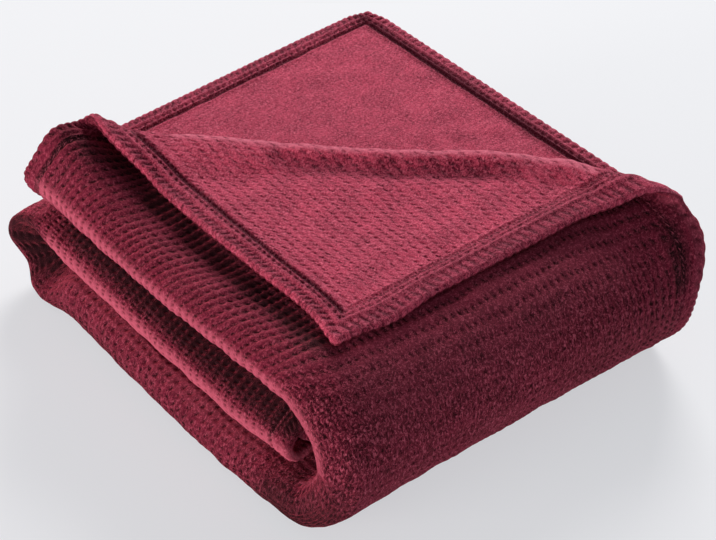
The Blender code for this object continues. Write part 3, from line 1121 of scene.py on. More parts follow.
    def hollow(self, s: np.ndarray, t: np.ndarray, side: Side) -> np.ndarray:
        """Painted shade between the hem's ribs and in its stitched groove, by how deep a place lies there.

        Args:
            s: Distances along the cloth's long way.
            t: Distances along its short way.
            side: Which face.

        Returns:
            0 for plain cloth, up to 1, the most painted shade, in the deepest hollows.
        """
        distance = np.minimum(*self.cloth.from_edge(s, t))
        groove = hump(distance, self.groove_at, self.groove_reach) ** self.groove_crown
        groove = groove * (1.0 - self.front_fill * self.front_hem(s, t))
        bars, dots = self.hem_marks(s, t)
        face_gap, reverse_gap = self.gap_sharp
        hollows = bars**face_gap if side is Side.FACE else np.maximum(bars**reverse_gap, dots)
        return np.maximum(hollows, groove)


# --- the panels ----------------------------------------------------------------------------------
@dataclass(frozen=True)
class Panel:
    """A rectangle of the cloth that is made as one mesh.

    Attributes:
        name: Name of the piece.
        s: Where it starts and ends along s.
        t: Where it starts and ends along t.
        step: Size of its mesh cells.
    """

    name: str
    s: tuple[float, float]
    t: tuple[float, float]
    step: float


@dataclass
class ClothMesher:
    """Makes each panel as a closed shell of both faces, with a rolled edge along its hems.

    Attributes:
        cloth: Sizes of the cloth.
        fold: The fold.
        relief: The relief of both faces.
        probe: Half the distance over which the middle's slope is measured.
        margin: Grid lines past each joint, which carry the shading over it.
        hem_line: Distance between grid lines on the hem of a fine panel.
        fine_step: Largest cell of a fine panel.
        coarse_share: How many times closer the lines of a coarse panel are on its hem.
        hem_reach: How far from the cloth's edge the close lines reach.
        search_steps: Steps in which the grid lines are looked for.
        roll_steps: Cells round the rolled edge.
        reverse_ribs: How much of the face's runs of pits the reverse shows.
        no_way: Added to the roll's normals, which would have no direction inside a joint.
        floor_gap: Least height above the floor.
    """

    cloth: ClothSizes
    fold: BlanketFold
    relief: FleeceRelief
    probe: float = 0.4 * MM
    margin: int = 2
    hem_line: float = 0.85 * MM
    fine_step: float = 3.0 * MM
    coarse_share: int = 3
    hem_reach: float = 29.0 * MM
    search_steps: int = 6000
    roll_steps: int = 6
    reverse_ribs: float = 0.25
    no_way: float = 1e-9
    floor_gap: float = 0.2 * MM

    def normal(self, s: np.ndarray, t: np.ndarray) -> np.ndarray:
        """Outward normals of the middle: the cross product of its slopes along s and t.

        Args:
            s: Distances along the cloth's long way.
            t: Distances along its short way.

        Returns:
            The normals, of length 1.
        """
        ahead = self.fold.middle(s + self.probe, t) - self.fold.middle(s - self.probe, t)
        aside = self.fold.middle(s, t + self.probe) - self.fold.middle(s, t - self.probe)
        return unit(np.cross(ahead, aside))

    def skins(self, s: np.ndarray, t: np.ndarray) -> tuple[np.ndarray, dict[Side, np.ndarray]]:
        """Both faces: the creased middle, plus or minus its normal times the relief's height.

        Args:
            s: Distances along the cloth's long way.
            t: Distances along its short way.

        Returns:
            Normals of the middle, and the points of each face.
        """
        normal = self.normal(s, t)
        middle = self.fold.middle(s, t) + normal * self.fold.crease(s, t)[..., None]
        faces = {
            side: middle + side.value * normal * self.relief.half(s, t, side)[..., None]
            for side in Side
        }
        return normal, faces

    def _ticks(
        self, low: float, high: float, whole: float, step: float,
    ) -> tuple[np.ndarray, slice]:
        """Grid lines of one direction, closer along a hem, with further ones past each joint.

        The number of lines is the sum of 1 / gap, and each line lies where that sum is whole.

        Args:
            low: Where the panel starts.
            high: Where it ends.
            whole: Length of the cloth in this direction.
            step: Wanted distance between lines on the plain cloth.

        Returns:
            The lines, and which of them are the panel's own.
        """
        inset = self.cloth.hem_thick / 2
        near = self.hem_line if step < self.fine_step else step / self.coarse_share
        first, last = max(low, inset), min(high, whole - inset)
        before, after = (0 if low <= 0.0 else self.margin), (0 if high >= whole else self.margin)
        spare = 4 * step
        places = np.linspace(first - spare, last + spare, self.search_steps + 1)
        from_edge = np.minimum(places, whole - places)
        gaps = near + (step - near) * smooth(from_edge, self.hem_reach, self.hem_reach + spare)
        marks = np.concatenate([[0.0], np.cumsum(np.diff(places) / ((gaps[1:] + gaps[:-1]) / 2))])
        start, end = np.interp([first, last], places, marks)
        count = round(end - start)
        marks = (marks - start) * count / (end - start)
        lines = np.interp(np.arange(-before, count + after + 1), marks, places)
        return lines, slice(before, len(lines) - after)

    def _edge_signs(self, s: np.ndarray, t: np.ndarray) -> np.ndarray:
        """Tell which way is out of the cloth.

        Args:
            s: Distances along the cloth's long way.
            t: Distances along its short way.

        Returns:
            -1 or 1 on a hem and 0 on a joint, along s and along t.
        """
        inset = self.cloth.hem_thick / 2 + SAME_PLACE
        sizes = (s, self.cloth.long), (t, self.cloth.wide)
        return np.stack([(x > whole - inset).astype(float) - (x < inset) for x, whole in sizes], -1)

    def _roll(
        self, s: np.ndarray, t: np.ndarray, rims: dict[Side, np.ndarray], angles: np.ndarray,
    ) -> tuple[np.ndarray, np.ndarray]:
        """Rows of points that carry the face round to the reverse.

        Each is the rim's middle, plus half the thickness times the angle's cosine, plus the way
        out times its sine. Along a joint nothing is out, so the rows make a flat cap there.

        Args:
            s: Distances of the rim along the cloth's long way.
            t: Its distances along the short way.
            rims: Points of each face's rim.
            angles: Angle of each row, from the face.

        Returns:
            The points and their normals, row by row.
        """
        middle = self.fold.middle(s, t)
        ahead = unit(self.fold.middle(s + self.probe, t) - middle)
        aside = unit(self.fold.middle(s, t + self.probe) - middle)
        signs = self._edge_signs(s, t)
        out = unit(ahead * signs[:, :1] + aside * signs[:, 1:])
        top, bottom = rims[Side.FACE], rims[Side.REVERSE]
        centre, half = (top + bottom) / 2, (top - bottom) / 2
        radius = np.linalg.norm(half, axis=1, keepdims=True)
        points = centre + half * np.cos(angles) + out * radius * np.sin(angles)
        normals = unit(half / radius * np.cos(angles) + out * np.sin(angles) + self.no_way)
        return points.reshape(-1, 3), normals.reshape(-1, 3)

    def _quads(self, rows: int, cols: int, around: np.ndarray) -> tuple[np.ndarray, np.ndarray]:
        """Faces of a panel and the slot of each: both grids, then the roll, half in each finish.

        Args:
            rows: Grid lines along s.
            cols: Grid lines along t.
            around: Numbers of the rim's points, in order.

        Returns:
            The four points of each face, and its material slot.
        """
        count, ring, rolled = rows * cols, len(around), self.roll_steps - 1
        corner = (np.arange(rows - 1)[:, None] * cols + np.arange(cols - 1)).ravel()
        face = np.stack([corner, corner + cols, corner + cols + 1, corner + 1], -1)
        reverse = face[:, ::-1] + count
        between = [2 * count + ring * k + np.arange(ring) for k in range(rolled)]
        loops = [around, *between, around + count]
        roll = np.concatenate([
            np.stack([a, np.roll(a, -1), np.roll(b, -1), b], -1)[:, ::-1]
            for a, b in zip(loops, loops[1:])
        ])
        half = len(roll) // 2
        slots = np.repeat([0, 1, 0, 1], [len(face), len(reverse), half, len(roll) - half])
        return np.concatenate([face, reverse, roll]), slots.astype(np.int32)

    def _spread(
        self, face: np.ndarray, reverse: np.ndarray, around: np.ndarray, rim: np.ndarray | None = None,
    ) -> np.ndarray:
        """Put a value on every point of a panel.

        Args:
            face: Its value on the face.
            reverse: Its value on the reverse.
            around: Numbers of the rim's points.
            rim: Its value on the roll; without it, the mean of the two.

        Returns:
            The values, in the order of the points.
        """
        face, reverse = face.ravel(), reverse.ravel()
        if rim is None:
            rim = (face[around] + reverse[around]) / 2
        return np.concatenate([face, reverse, np.tile(rim, self.roll_steps - 1)])

    def _marks(self, s: np.ndarray, t: np.ndarray, around: np.ndarray) -> dict[str, np.ndarray]:
        """What the finishes read at each point of a panel.

        Args:
            s: Distances along the cloth's long way.
            t: Distances along its short way.
            around: Numbers of the rim's points.

        Returns:
            The values by name: hollow, the painted shade of the hem's hollows; hem, brushed, ribs; and the
                strokes' painted light and shade.
        """
        relief = self.relief
        hem = self.cloth.hem(np.minimum(*self.cloth.from_edge(s, t)) + self.cloth.hem_step)
        brushed, ribs = relief.brushed(s, t), relief.ribs(s, t)
        hollow, painted_shading = ([mark(s, t, side) for side in Side] for mark in (relief.hollow, relief.painted_shading))
        return {
            "hollow": self._spread(*hollow, around),
            "hem": self._spread(hem, hem, around),
            "brushed": self._spread(brushed, brushed, around),
            "ribs": self._spread(ribs, self.reverse_ribs * ribs, around, ribs.ravel()[around]),
            "painted_shading": self._spread(*painted_shading, around),
        }

    def _weave_map(
        self, s: np.ndarray, t: np.ndarray, around: np.ndarray, angles: np.ndarray,
    ) -> np.ndarray:
        """Waffle coordinates of each point; round the roll they run on past the cloth's edge.

        Args:
            s: Distances along the cloth's long way.
            t: Distances along its short way.
            around: Numbers of the rim's points.
            angles: Angle of each row of the roll, from the face.

        Returns:
            The two coordinates of each point.
        """
        weave = np.stack(self.relief.weave(s, t), -1).reshape(-1, 2)
        pitch = np.array([self.cloth.waffle_s, self.cloth.waffle_t])
        sweep = np.sin(angles) * self.cloth.hem_thick / 2 / pitch
        signs = self._edge_signs(s.ravel()[around], t.ravel()[around])
        return np.concatenate([weave, weave, (weave[around] + sweep * signs).reshape(-1, 2)])

    def build(self, panel: Panel, materials: dict[Side, bpy.types.Material]) -> bpy.types.Object:
        """Make a panel's mesh.

        Both faces are grids over (s, t). Around the rectangle a half circle of rows carries one
        face round to the other along a hem; along a joint those rows are a flat cap, which the
        next panel covers.

        Args:
            panel: What to make.
            materials: The finish of each face.

        Returns:
            The new object.
        """
        s_lines, s_own = self._ticks(*panel.s, self.cloth.long, panel.step)
        t_lines, t_own = self._ticks(*panel.t, self.cloth.wide, panel.step)
        s, t = np.meshgrid(s_lines, t_lines, indexing="ij")
        own = (s_own, t_own)
        faces, shading = {}, []
        for side, points in self.skins(s, t)[1].items():
            slopes = np.gradient(points, axis=0), np.gradient(points, axis=1)
            shading.append((side.value * unit(np.cross(*slopes))[own]).reshape(-1, 3))
            faces[side] = points[own].reshape(-1, 3)
        s, t = s[own], t[own]
        rows, cols = s.shape
        around = np.concatenate([
            np.arange(rows) * cols,
            (rows - 1) * cols + np.arange(1, cols),
            np.arange(rows - 2, -1, -1) * cols + cols - 1,
            np.arange(cols - 2, 0, -1),
        ])
        angles = np.linspace(0.0, math.pi, self.roll_steps + 1)[1:-1, None, None]
        rims = {side: points[around] for side, points in faces.items()}
        roll, roll_shading = self._roll(s.ravel()[around], t.ravel()[around], rims, angles)
        points = np.concatenate([*faces.values(), roll])
        points[:, 2] = np.maximum(points[:, 2], self.floor_gap)
        quads, slots = self._quads(rows, cols, around)

        piece = new_piece(panel.name, points, quads.tolist(), [materials[side] for side in Side])
        mesh = piece.data
        mesh.polygons.foreach_set("material_index", slots)
        weave = self._weave_map(s, t, around, angles)
        mesh.uv_layers.new(name="weave").data.foreach_set("uv", weave[quads.ravel()].ravel())
        for name, values in self._marks(s, t, around).items():
            mesh.attributes.new(name, "FLOAT", "POINT").data.foreach_set("value", values)
        mesh.update()
        mesh.normals_split_custom_set_from_vertices(np.concatenate([*shading, roll_shading]).tolist())
        return piece


# --- the finishes --------------------------------------------------------------------------------
def add(
    tree: bpy.types.NodeTree, kind: str, inputs: dict | None = None, **settings: object,
) -> bpy.types.Node:
    """Add a node.

    Args:
        tree: The material's nodes.
        kind: The node's type, without its "ShaderNode" start.
        inputs: A value, an output socket or a node, for its first output, for each input, by name
            or number.
        settings: The node's own settings.

    Returns:
        The new node.
    """
    node = tree.nodes.new(f"ShaderNode{kind}")
    for name, value in settings.items():
        setattr(node, name, value)
    for key, value in (inputs or {}).items():
        source = value.outputs[0] if isinstance(value, bpy.types.Node) else value
        if isinstance(source, bpy.types.NodeSocket):
            tree.links.new(source, node.inputs[key])
        else:
            node.inputs[key].default_value = source
    return node


def new_material(name: str) -> bpy.types.Material:
    """Add a node material that has no nodes yet.

    Args:
        name: Name of the material.

    Returns:
        The material.
    """
    material = bpy.data.materials.new(name)
    material.use_nodes = True
    material.node_tree.nodes.clear()
    return material


@dataclass(frozen=True)
class FleeceFinish:
    """Dyed polyester microfibre fleece, knitted with a waffle and brushed to a plush pile.

    The fibres scatter light along the pile, so the cloth is matt, and its sheen brightens it towards a
    soft pink where it is seen at a low angle. Its pits and hollows are dark with painted shade.

    Attributes:
        name: Name of the material.
        pile: Colour of the pile.
        deep: Colour of painted shade: down in the pits, in the hem's hollows and along the darker strokes.
        tip: Colour of the fibres' tips, also laid on as painted highlight along the lighter strokes.
        pit_share: How much of the deep colour, as painted shade, the pits take.
        sharp_s: How narrow the pits' dark middles are along s.
        sharp_t: How narrow they are along t.
        slant: How far the pits lean, as a share of their pitch.
        pit_bump: Height of the fine pit relief.
        fuzz_size: Distance between clumps of pile.
        fuzz_bump: Height of the clumps.
        tip_share: How much of the tip colour, a painted highlight on the clumps' tips, the clumps take.
        shade_share: How much of the deep colour, as painted shade, lies between the clumps.
        laid: How much calmer the clumps are where the pile isn't brushed up.
        sheen: Weight of the pile's sheen.
        sheen_colour: Colour of the sheen.
        roughness: Roughness of the pile.
        sheen_roughness: Roughness of its sheen.
        specular: Strength of its plain reflection, which loose fibres hardly have.
        half_wave: Half the waves' height, a hair under a half so that none sinks below 0.
        brushed_fill: How much of the pits' painted shade brushed pile hides.
        hollow_share: How much of the deep colour, as painted shade, the hem's hollows take.
        comb: How the clumps are stretched along X, Y and Z; below 1 for longer.
        clump_noise: Detail, roughness and distortion of the clumps' noise.
        patch_noise: Scale, detail and roughness of the broad patches' noise, 22 mm apart.
        tips_from: Where the clumps' noise starts to show tips, and where it shows them in full.
        shade_from: Where it shows full painted shade, and where it shows none.
        patches_from: The same as for the tips, for the broad patches.
        patch_share: How much of the deep colour the patches take.
        highlight_calm: How much of the clumps' shade the strokes' painted highlight takes away.
        highlight_pits: How far the painted highlight is kept out of the pits, so that their painted shade
            stays.
    """

    name: str
    pile: str
    deep: str
    tip: str
    pit_share: float
    sharp_s: float
    sharp_t: float
    slant: float
    pit_bump: float
    fuzz_size: float
    fuzz_bump: float
    tip_share: float
    shade_share: float
    laid: float
    sheen: float
    sheen_colour: str
    roughness: float = 0.95
    sheen_roughness: float = 0.40
    specular: float = 0.15
    half_wave: float = 0.4999
    brushed_fill: float = 0.70
    hollow_share: float = 0.85
    comb: tuple[float, float, float] = (1.0, 1.0, 0.5)
    clump_noise: tuple[float, float, float] = (3.0, 0.75, 0.8)
    patch_noise: tuple[float, float, float] = (45.0, 4.0, 0.65)
    tips_from: tuple[float, float] = (0.52, 0.63)
    shade_from: tuple[float, float] = (0.37, 0.51)
    patches_from: tuple[float, float] = (0.38, 0.66)
    patch_share: float = 0.28
    highlight_calm: float = 0.65
    highlight_pits: float = 0.85

    def _cells(self, tree: bpy.types.NodeTree) -> bpy.types.Node:
        """Add the waffle's pits.

        Along each waffle direction a wave is 0.5 + 0.5 cos(2 pi x), raised to a power, and the two
        multiplied make the pits. Where the ribs run, one wave is pulled up towards 1, so the pits
        run together across it.

        Args:
            tree: The material's nodes.

        Returns:
            The node that gives 1 in the pits and 0 on the crowns between them.
        """
        weave = add(tree, "UVMap", uv_map="weave")
        parts = add(tree, "SeparateXYZ", {0: weave})
        turn = add(tree, "Math", {0: parts.outputs["Y"], 1: 2 * math.pi}, operation="MULTIPLY")
        sway = add(tree, "Math", {0: turn}, operation="SINE")
        lean = add(
            tree, "Math", {0: sway, 1: self.slant, 2: parts.outputs["X"]}, operation="MULTIPLY_ADD",
        )
        ribs = add(tree, "Attribute", attribute_name="ribs")
        merged = []
        for source, sharp, turned in (
            (lean, self.sharp_s, 1.0), (parts.outputs["Y"], self.sharp_t, -1.0),
        ):
            angle = add(tree, "Math", {0: source, 1: 2 * math.pi}, operation="MULTIPLY")
            cosine = add(tree, "Math", {0: angle}, operation="COSINE")
            wave = add(tree, "Math", {0: cosine, 1: self.half_wave, 2: 0.5}, operation="MULTIPLY_ADD")
            wave = add(tree, "Math", {0: wave, 1: sharp}, operation="POWER")
            rest = add(tree, "Math", {0: 1.0, 1: wave}, operation="SUBTRACT")
            pull = add(tree, "Math", {0: ribs.outputs["Fac"], 1: turned}, operation="MULTIPLY")
            pull = add(tree, "Math", {0: pull, 1: 0.0}, operation="MAXIMUM")
            merged.append(add(tree, "Math", {0: rest, 1: pull, 2: wave}, operation="MULTIPLY_ADD"))
        return add(tree, "Math", {0: merged[0], 1: merged[1]}, operation="MULTIPLY")

    def material(self) -> bpy.types.Material:
        """Build the node material.

        The pits and the hem's hollows take the deep colour as painted shade. Two noises, one of clumps
        and one of broad patches, make the pile: between the clumps it takes painted shade, and their
        pale tips are painted highlight. The strokes' painted light and shade draw the pile's colour
        towards the tips or the deep colour, and where the pile isn't brushed up its clumps are calmer.

        Returns:
            The material.
        """
        material = new_material(self.name)
        tree = material.node_tree
        cells = self._cells(tree)
        hem = add(tree, "Attribute", attribute_name="hem")
        plain = add(tree, "Math", {0: 1.0, 1: hem.outputs["Fac"]}, operation="SUBTRACT")
        # Painted shade: the waffle's pits and the hem's hollows take the deep colour.
        pits = add(tree, "Math", {0: cells, 1: plain}, operation="MULTIPLY")
        hollow = add(tree, "Attribute", attribute_name="hollow")
        brushed = add(tree, "Attribute", attribute_name="brushed")
        share = add(tree, "Math", {
            0: brushed.outputs["Fac"], 1: -self.brushed_fill * self.pit_share, 2: self.pit_share,
        }, operation="MULTIPLY_ADD")
        weak = add(tree, "Math", {0: pits, 1: share}, operation="MULTIPLY")
        deep = add(
            tree, "Math", {0: hollow.outputs["Fac"], 1: self.hollow_share}, operation="MULTIPLY",
        )
        deep = add(tree, "Math", {0: weak, 1: deep}, operation="MAXIMUM")

        place = add(tree, "TexCoord")
        combed = add(tree, "Mapping", {"Vector": place.outputs["Object"], "Scale": self.comb})
        detail, rough, warp = self.clump_noise
        clumps = add(tree, "TexNoise", {
            "Vector": combed, "Scale": 1 / self.fuzz_size, "Detail": detail, "Roughness": rough,
            "Distortion": warp,
        })
        scale, detail, rough = self.patch_noise
        broad = add(tree, "TexNoise", {
            "Vector": place.outputs["Object"], "Scale": scale, "Detail": detail, "Roughness": rough,
        })
        # Painted highlight on the clumps' pale tips and painted shade between them; the broad patches are the
        # pile's uneven tone.
        lit, shaded, patches = (
            add(tree, "MapRange", {
                "Value": noise.outputs["Fac"], "From Min": low, "From Max": high, "To Min": first,
                "To Max": last,
            })
            for noise, (low, high), first, last in (
                (clumps, self.tips_from, 0.0, self.tip_share),
                (clumps, self.shade_from, self.shade_share, 0.0),
                (broad, self.patches_from, 0.0, self.patch_share),
            )
        )

        # Painted light and shade of the strokes: towards is the painted highlight, drawn to the tip colour;
        # away is the painted shade, drawn to the deep colour.
        painted_shading = add(tree, "Attribute", attribute_name="painted_shading")
        towards = add(tree, "Math", {0: painted_shading.outputs["Fac"], 1: 0.0}, operation="MAXIMUM")
        away = add(tree, "Math", {0: painted_shading.outputs["Fac"], 1: -1.0}, operation="MULTIPLY")
        away = add(tree, "Math", {0: away, 1: 0.0}, operation="MAXIMUM")
        loose = add(tree, "Math", {
            0: brushed.outputs["Fac"], 1: self.laid, 2: 1.0 - self.laid,
        }, operation="MULTIPLY_ADD", use_clamp=True)
        calm = add(
            tree, "Math", {0: towards, 1: -self.highlight_calm, 2: 1.0}, operation="MULTIPLY_ADD",
            use_clamp=True,
        )
        calm = add(tree, "Math", {0: calm, 1: loose}, operation="MULTIPLY")
        sunk = add(
            tree, "Math", {0: shaded, 1: calm, 2: deep}, operation="MULTIPLY_ADD", use_clamp=True,
        )
        for more in (patches, away):
            sunk = add(tree, "Math", {0: sunk, 1: more}, operation="ADD", use_clamp=True)
        # The painted highlight is kept out of the pits, which keep their painted shade.
        crowns = add(tree, "Math", {0: cells, 1: -self.highlight_pits, 2: 1.0}, operation="MULTIPLY_ADD")
        towards = add(tree, "Math", {0: towards, 1: crowns}, operation="MULTIPLY")
        shown = add(tree, "Math", {0: 1.0, 1: away}, operation="SUBTRACT", use_clamp=True)
        shown = add(tree, "Math", {0: shown, 1: loose}, operation="MULTIPLY")
        tips = add(
            tree, "Math", {0: lit, 1: shown, 2: towards}, operation="MULTIPLY_ADD", use_clamp=True,
        )
        dyed = add(tree, "Mix", {
            0: sunk, 6: linear(self.pile), 7: linear(self.deep),
        }, data_type="RGBA")
        tipped = add(tree, "Mix", {
            0: tips, 6: dyed.outputs[2], 7: linear(self.tip),
        }, data_type="RGBA")

        fuzz = add(tree, "Bump", {
            "Height": clumps.outputs["Fac"], "Distance": self.fuzz_bump, "Strength": loose,
        })
        pitted = add(tree, "Bump", {
            "Height": weak, "Distance": self.pit_bump / self.pit_share, "Strength": 1.0,
            "Normal": fuzz,
        }, invert=True)
        shader = add(tree, "BsdfPrincipled", {
            "Base Color": tipped.outputs[2], "Roughness": self.roughness,
            "Specular IOR Level": self.specular, "Sheen Weight": self.sheen,
            "Sheen Roughness": self.sheen_roughness, "Sheen Tint": linear(self.sheen_colour),
            "Normal": pitted,
        })
        add(tree, "OutputMaterial", {"Surface": shader})
        return material


WAFFLE_FACE = FleeceFinish(
    name="raspberry_waffle_fleece_brushed",
    pile="#721B33", deep="#180208", tip="#B9576C",
    pit_share=0.72, sharp_s=1.2, sharp_t=2.2, slant=0.10, pit_bump=0.9 * MM,
    fuzz_size=1.75 * MM, fuzz_bump=2.5 * MM, tip_share=1.00, shade_share=1.00, laid=0.52,
    sheen=0.48, sheen_colour="#FF5A76",
)
NAPPED_REVERSE = FleeceFinish(
    name="raspberry_fleece_napped_reverse",
    pile="#D24B69", deep="#5A0F26", tip="#F0859C",
    pit_share=0.35, sharp_s=1.0, sharp_t=2.2, slant=0.28, pit_bump=1.0 * MM,
    fuzz_size=1.8 * MM, fuzz_bump=1.9 * MM, tip_share=0.50, shade_share=0.66, laid=0.0,
    sheen=0.40, sheen_colour="#F58FA6",
)


@dataclass(frozen=True)
class ThreadFinish:
    """Dyed polyester sewing thread, a little smoother and paler than the pile it holds down.

    Attributes:
        name: Name of the material.
        light: Colour of the thread's crown, a painted highlight on each ply.
        dark: Colour between its plies, painted shade in the twist's grooves.
        ply: Distance between plies.
        relief: Height of a ply.
        wave_scale: Turns a distance between bands into the wave texture's scale.
        unevenness: Distortion and detail of the bands.
        roughness: Roughness of the thread.
        sheen: Weight of its sheen.
        sheen_roughness: Roughness of its sheen.
    """

    name: str
    light: str
    dark: str
    ply: float
    relief: float
    wave_scale: float = 0.05
    unevenness: tuple[float, float] = (2.0, 2.0)
    roughness: float = 0.62
    sheen: float = 0.25
    sheen_roughness: float = 0.4

    def material(self) -> bpy.types.Material:
        """Build the node material: fine slanting bands for the plies, painted highlight on their crowns and
        painted shade between them, broken up by a noise.

        Returns:
            The material.
        """
        material = new_material(self.name)
        tree = material.node_tree
        place = add(tree, "TexCoord")
        distortion, detail = self.unevenness
        plies = add(tree, "TexWave", {
            "Vector": place.outputs["Object"], "Scale": self.wave_scale / self.ply,
            "Distortion": distortion, "Detail": detail,
        }, bands_direction="DIAGONAL")
        # Painted highlight on the plies' crowns, painted shade between them.
        blend = add(tree, "Mix", {
            0: plies.outputs["Fac"], 6: linear(self.dark), 7: linear(self.light),
        }, data_type="RGBA")
        raised = add(tree, "Bump", {"Height": plies.outputs["Fac"], "Distance": self.relief})
        shader = add(tree, "BsdfPrincipled", {
            "Base Color": blend.outputs[2], "Roughness": self.roughness, "Sheen Weight": self.sheen,
            "Sheen Roughness": self.sheen_roughness, "Sheen Tint": linear(self.light),
            "Normal": raised,
        })
        add(tree, "OutputMaterial", {"Surface": shader})
        return material


SEWING_THREAD = ThreadFinish(
    name="raspberry_polyester_sewing_thread",
    light="#93324A", dark="#6E1C31", ply=0.35 * MM, relief=0.1 * MM,
)


# --- the stitching -------------------------------------------------------------------------------
@dataclass
class HemStitching:
    """The row of stitches that holds down the turned hem, on both faces of the cloth.

    Attributes:
        cloth: Sizes of the cloth.
        mesher: Gives the cloth's faces, which the stitches lie on.
        distance: Distance of the row from the cloth's edge.
        pitch: Distance from a stitch to the next.
        length: Length of a stitch.
        radius: Radius of the thread at a stitch's middle.
        lean: How far a stitch leans from its row, as a slope.
        corners: Corners of a ring.
        rings: Place of each ring along the stitch, as a share of its length.
        taper: Radius of each ring, as a share.
        rise: Height of each ring above the cloth.
    """

    cloth: ClothSizes
    mesher: ClothMesher
    distance: float
    pitch: float = 5.4 * MM
    length: float = 3.4 * MM
    radius: float = 0.45 * MM
    lean: float = 0.35
    corners: int = 5
    rings: tuple[float, ...] = (-0.5, 0.0, 0.5)
    taper: tuple[float, ...] = (0.55, 1.0, 0.55)
    rise: tuple[float, ...] = (-0.30 * MM, 0.35 * MM, -0.30 * MM)

    def places(self) -> tuple[np.ndarray, np.ndarray]:
        """Lay the stitches out on the flat cloth, at even distances along all four sides.

        Returns:
            The middles of the stitches and their headings, each as (s, t).
        """
        near, far_s, far_t = (
            self.distance, self.cloth.long - self.distance, self.cloth.wide - self.distance,
        )
        turns = ((near, near), (far_s, near), (far_s, far_t), (near, far_t), (near, near))
        middles, headings = [], []
        for start, end in zip(turns, turns[1:]):
            span = np.subtract(end, start)
            count = int(np.abs(span).max() / self.pitch)
            middles.append(np.add(start, (np.arange(count)[:, None] + 0.5) / count * span))
            heading = span / np.abs(span).max()
            leaning = heading + self.lean * np.array([-heading[1], heading[0]])
            headings.append(np.repeat(leaning[None] / np.hypot(*leaning), count, axis=0))
        return np.concatenate(middles), np.concatenate(headings)

    def build(self, material: bpy.types.Material) -> bpy.types.Object:
        """Make the stitches as one mesh.

        Each stitch is a short tube of three rings, one at each end, sunk in the cloth, and one in
        the middle, which stands a little proud of it. A ring's points lie at even angles in the
        plane of the cloth's normal and its cross product with the stitch's own direction.

        Args:
            material: Finish of the thread.

        Returns:
            The new object.
        """
        middles, headings = self.places()
        shares = np.array(self.rings) * self.length
        s, t = np.moveaxis(middles[:, None] + shares[:, None] * headings[:, None], -1, 0)
        normal, faces = self.mesher.skins(s, t)
        angles = (2 * math.pi * np.arange(self.corners) / self.corners)[:, None]
        rise, radii = np.array(self.rise)[:, None], self.radius * np.array(self.taper)[:, None, None]
        tubes = []
        for side, points in faces.items():
            up = side.value * normal
            ahead = unit(points[:, 2:] - points[:, :1])
            across = np.cross(np.broadcast_to(ahead, up.shape), up)
            spokes = up[:, :, None] * np.cos(angles) + across[:, :, None] * np.sin(angles)
            tubes.append((points + up * rise)[:, :, None] + radii * spokes)
        points = np.concatenate(tubes)
        first = np.arange(len(points))[:, None] * len(self.rings) * self.corners
        ring = np.arange(self.corners)
        after = (ring + 1) % self.corners
        quads = [
            np.stack([low + ring, low + after, low + self.corners + after, low + self.corners + ring], -1)
            for low in (first, first + self.corners)
        ]
        caps = [first + ring[::-1], first + 2 * self.corners + ring]
        return new_piece(
            "hem_stitching", points.reshape(-1, 3),
            np.concatenate(quads).reshape(-1, 4).tolist() + np.concatenate(caps).tolist(), [material],
        )


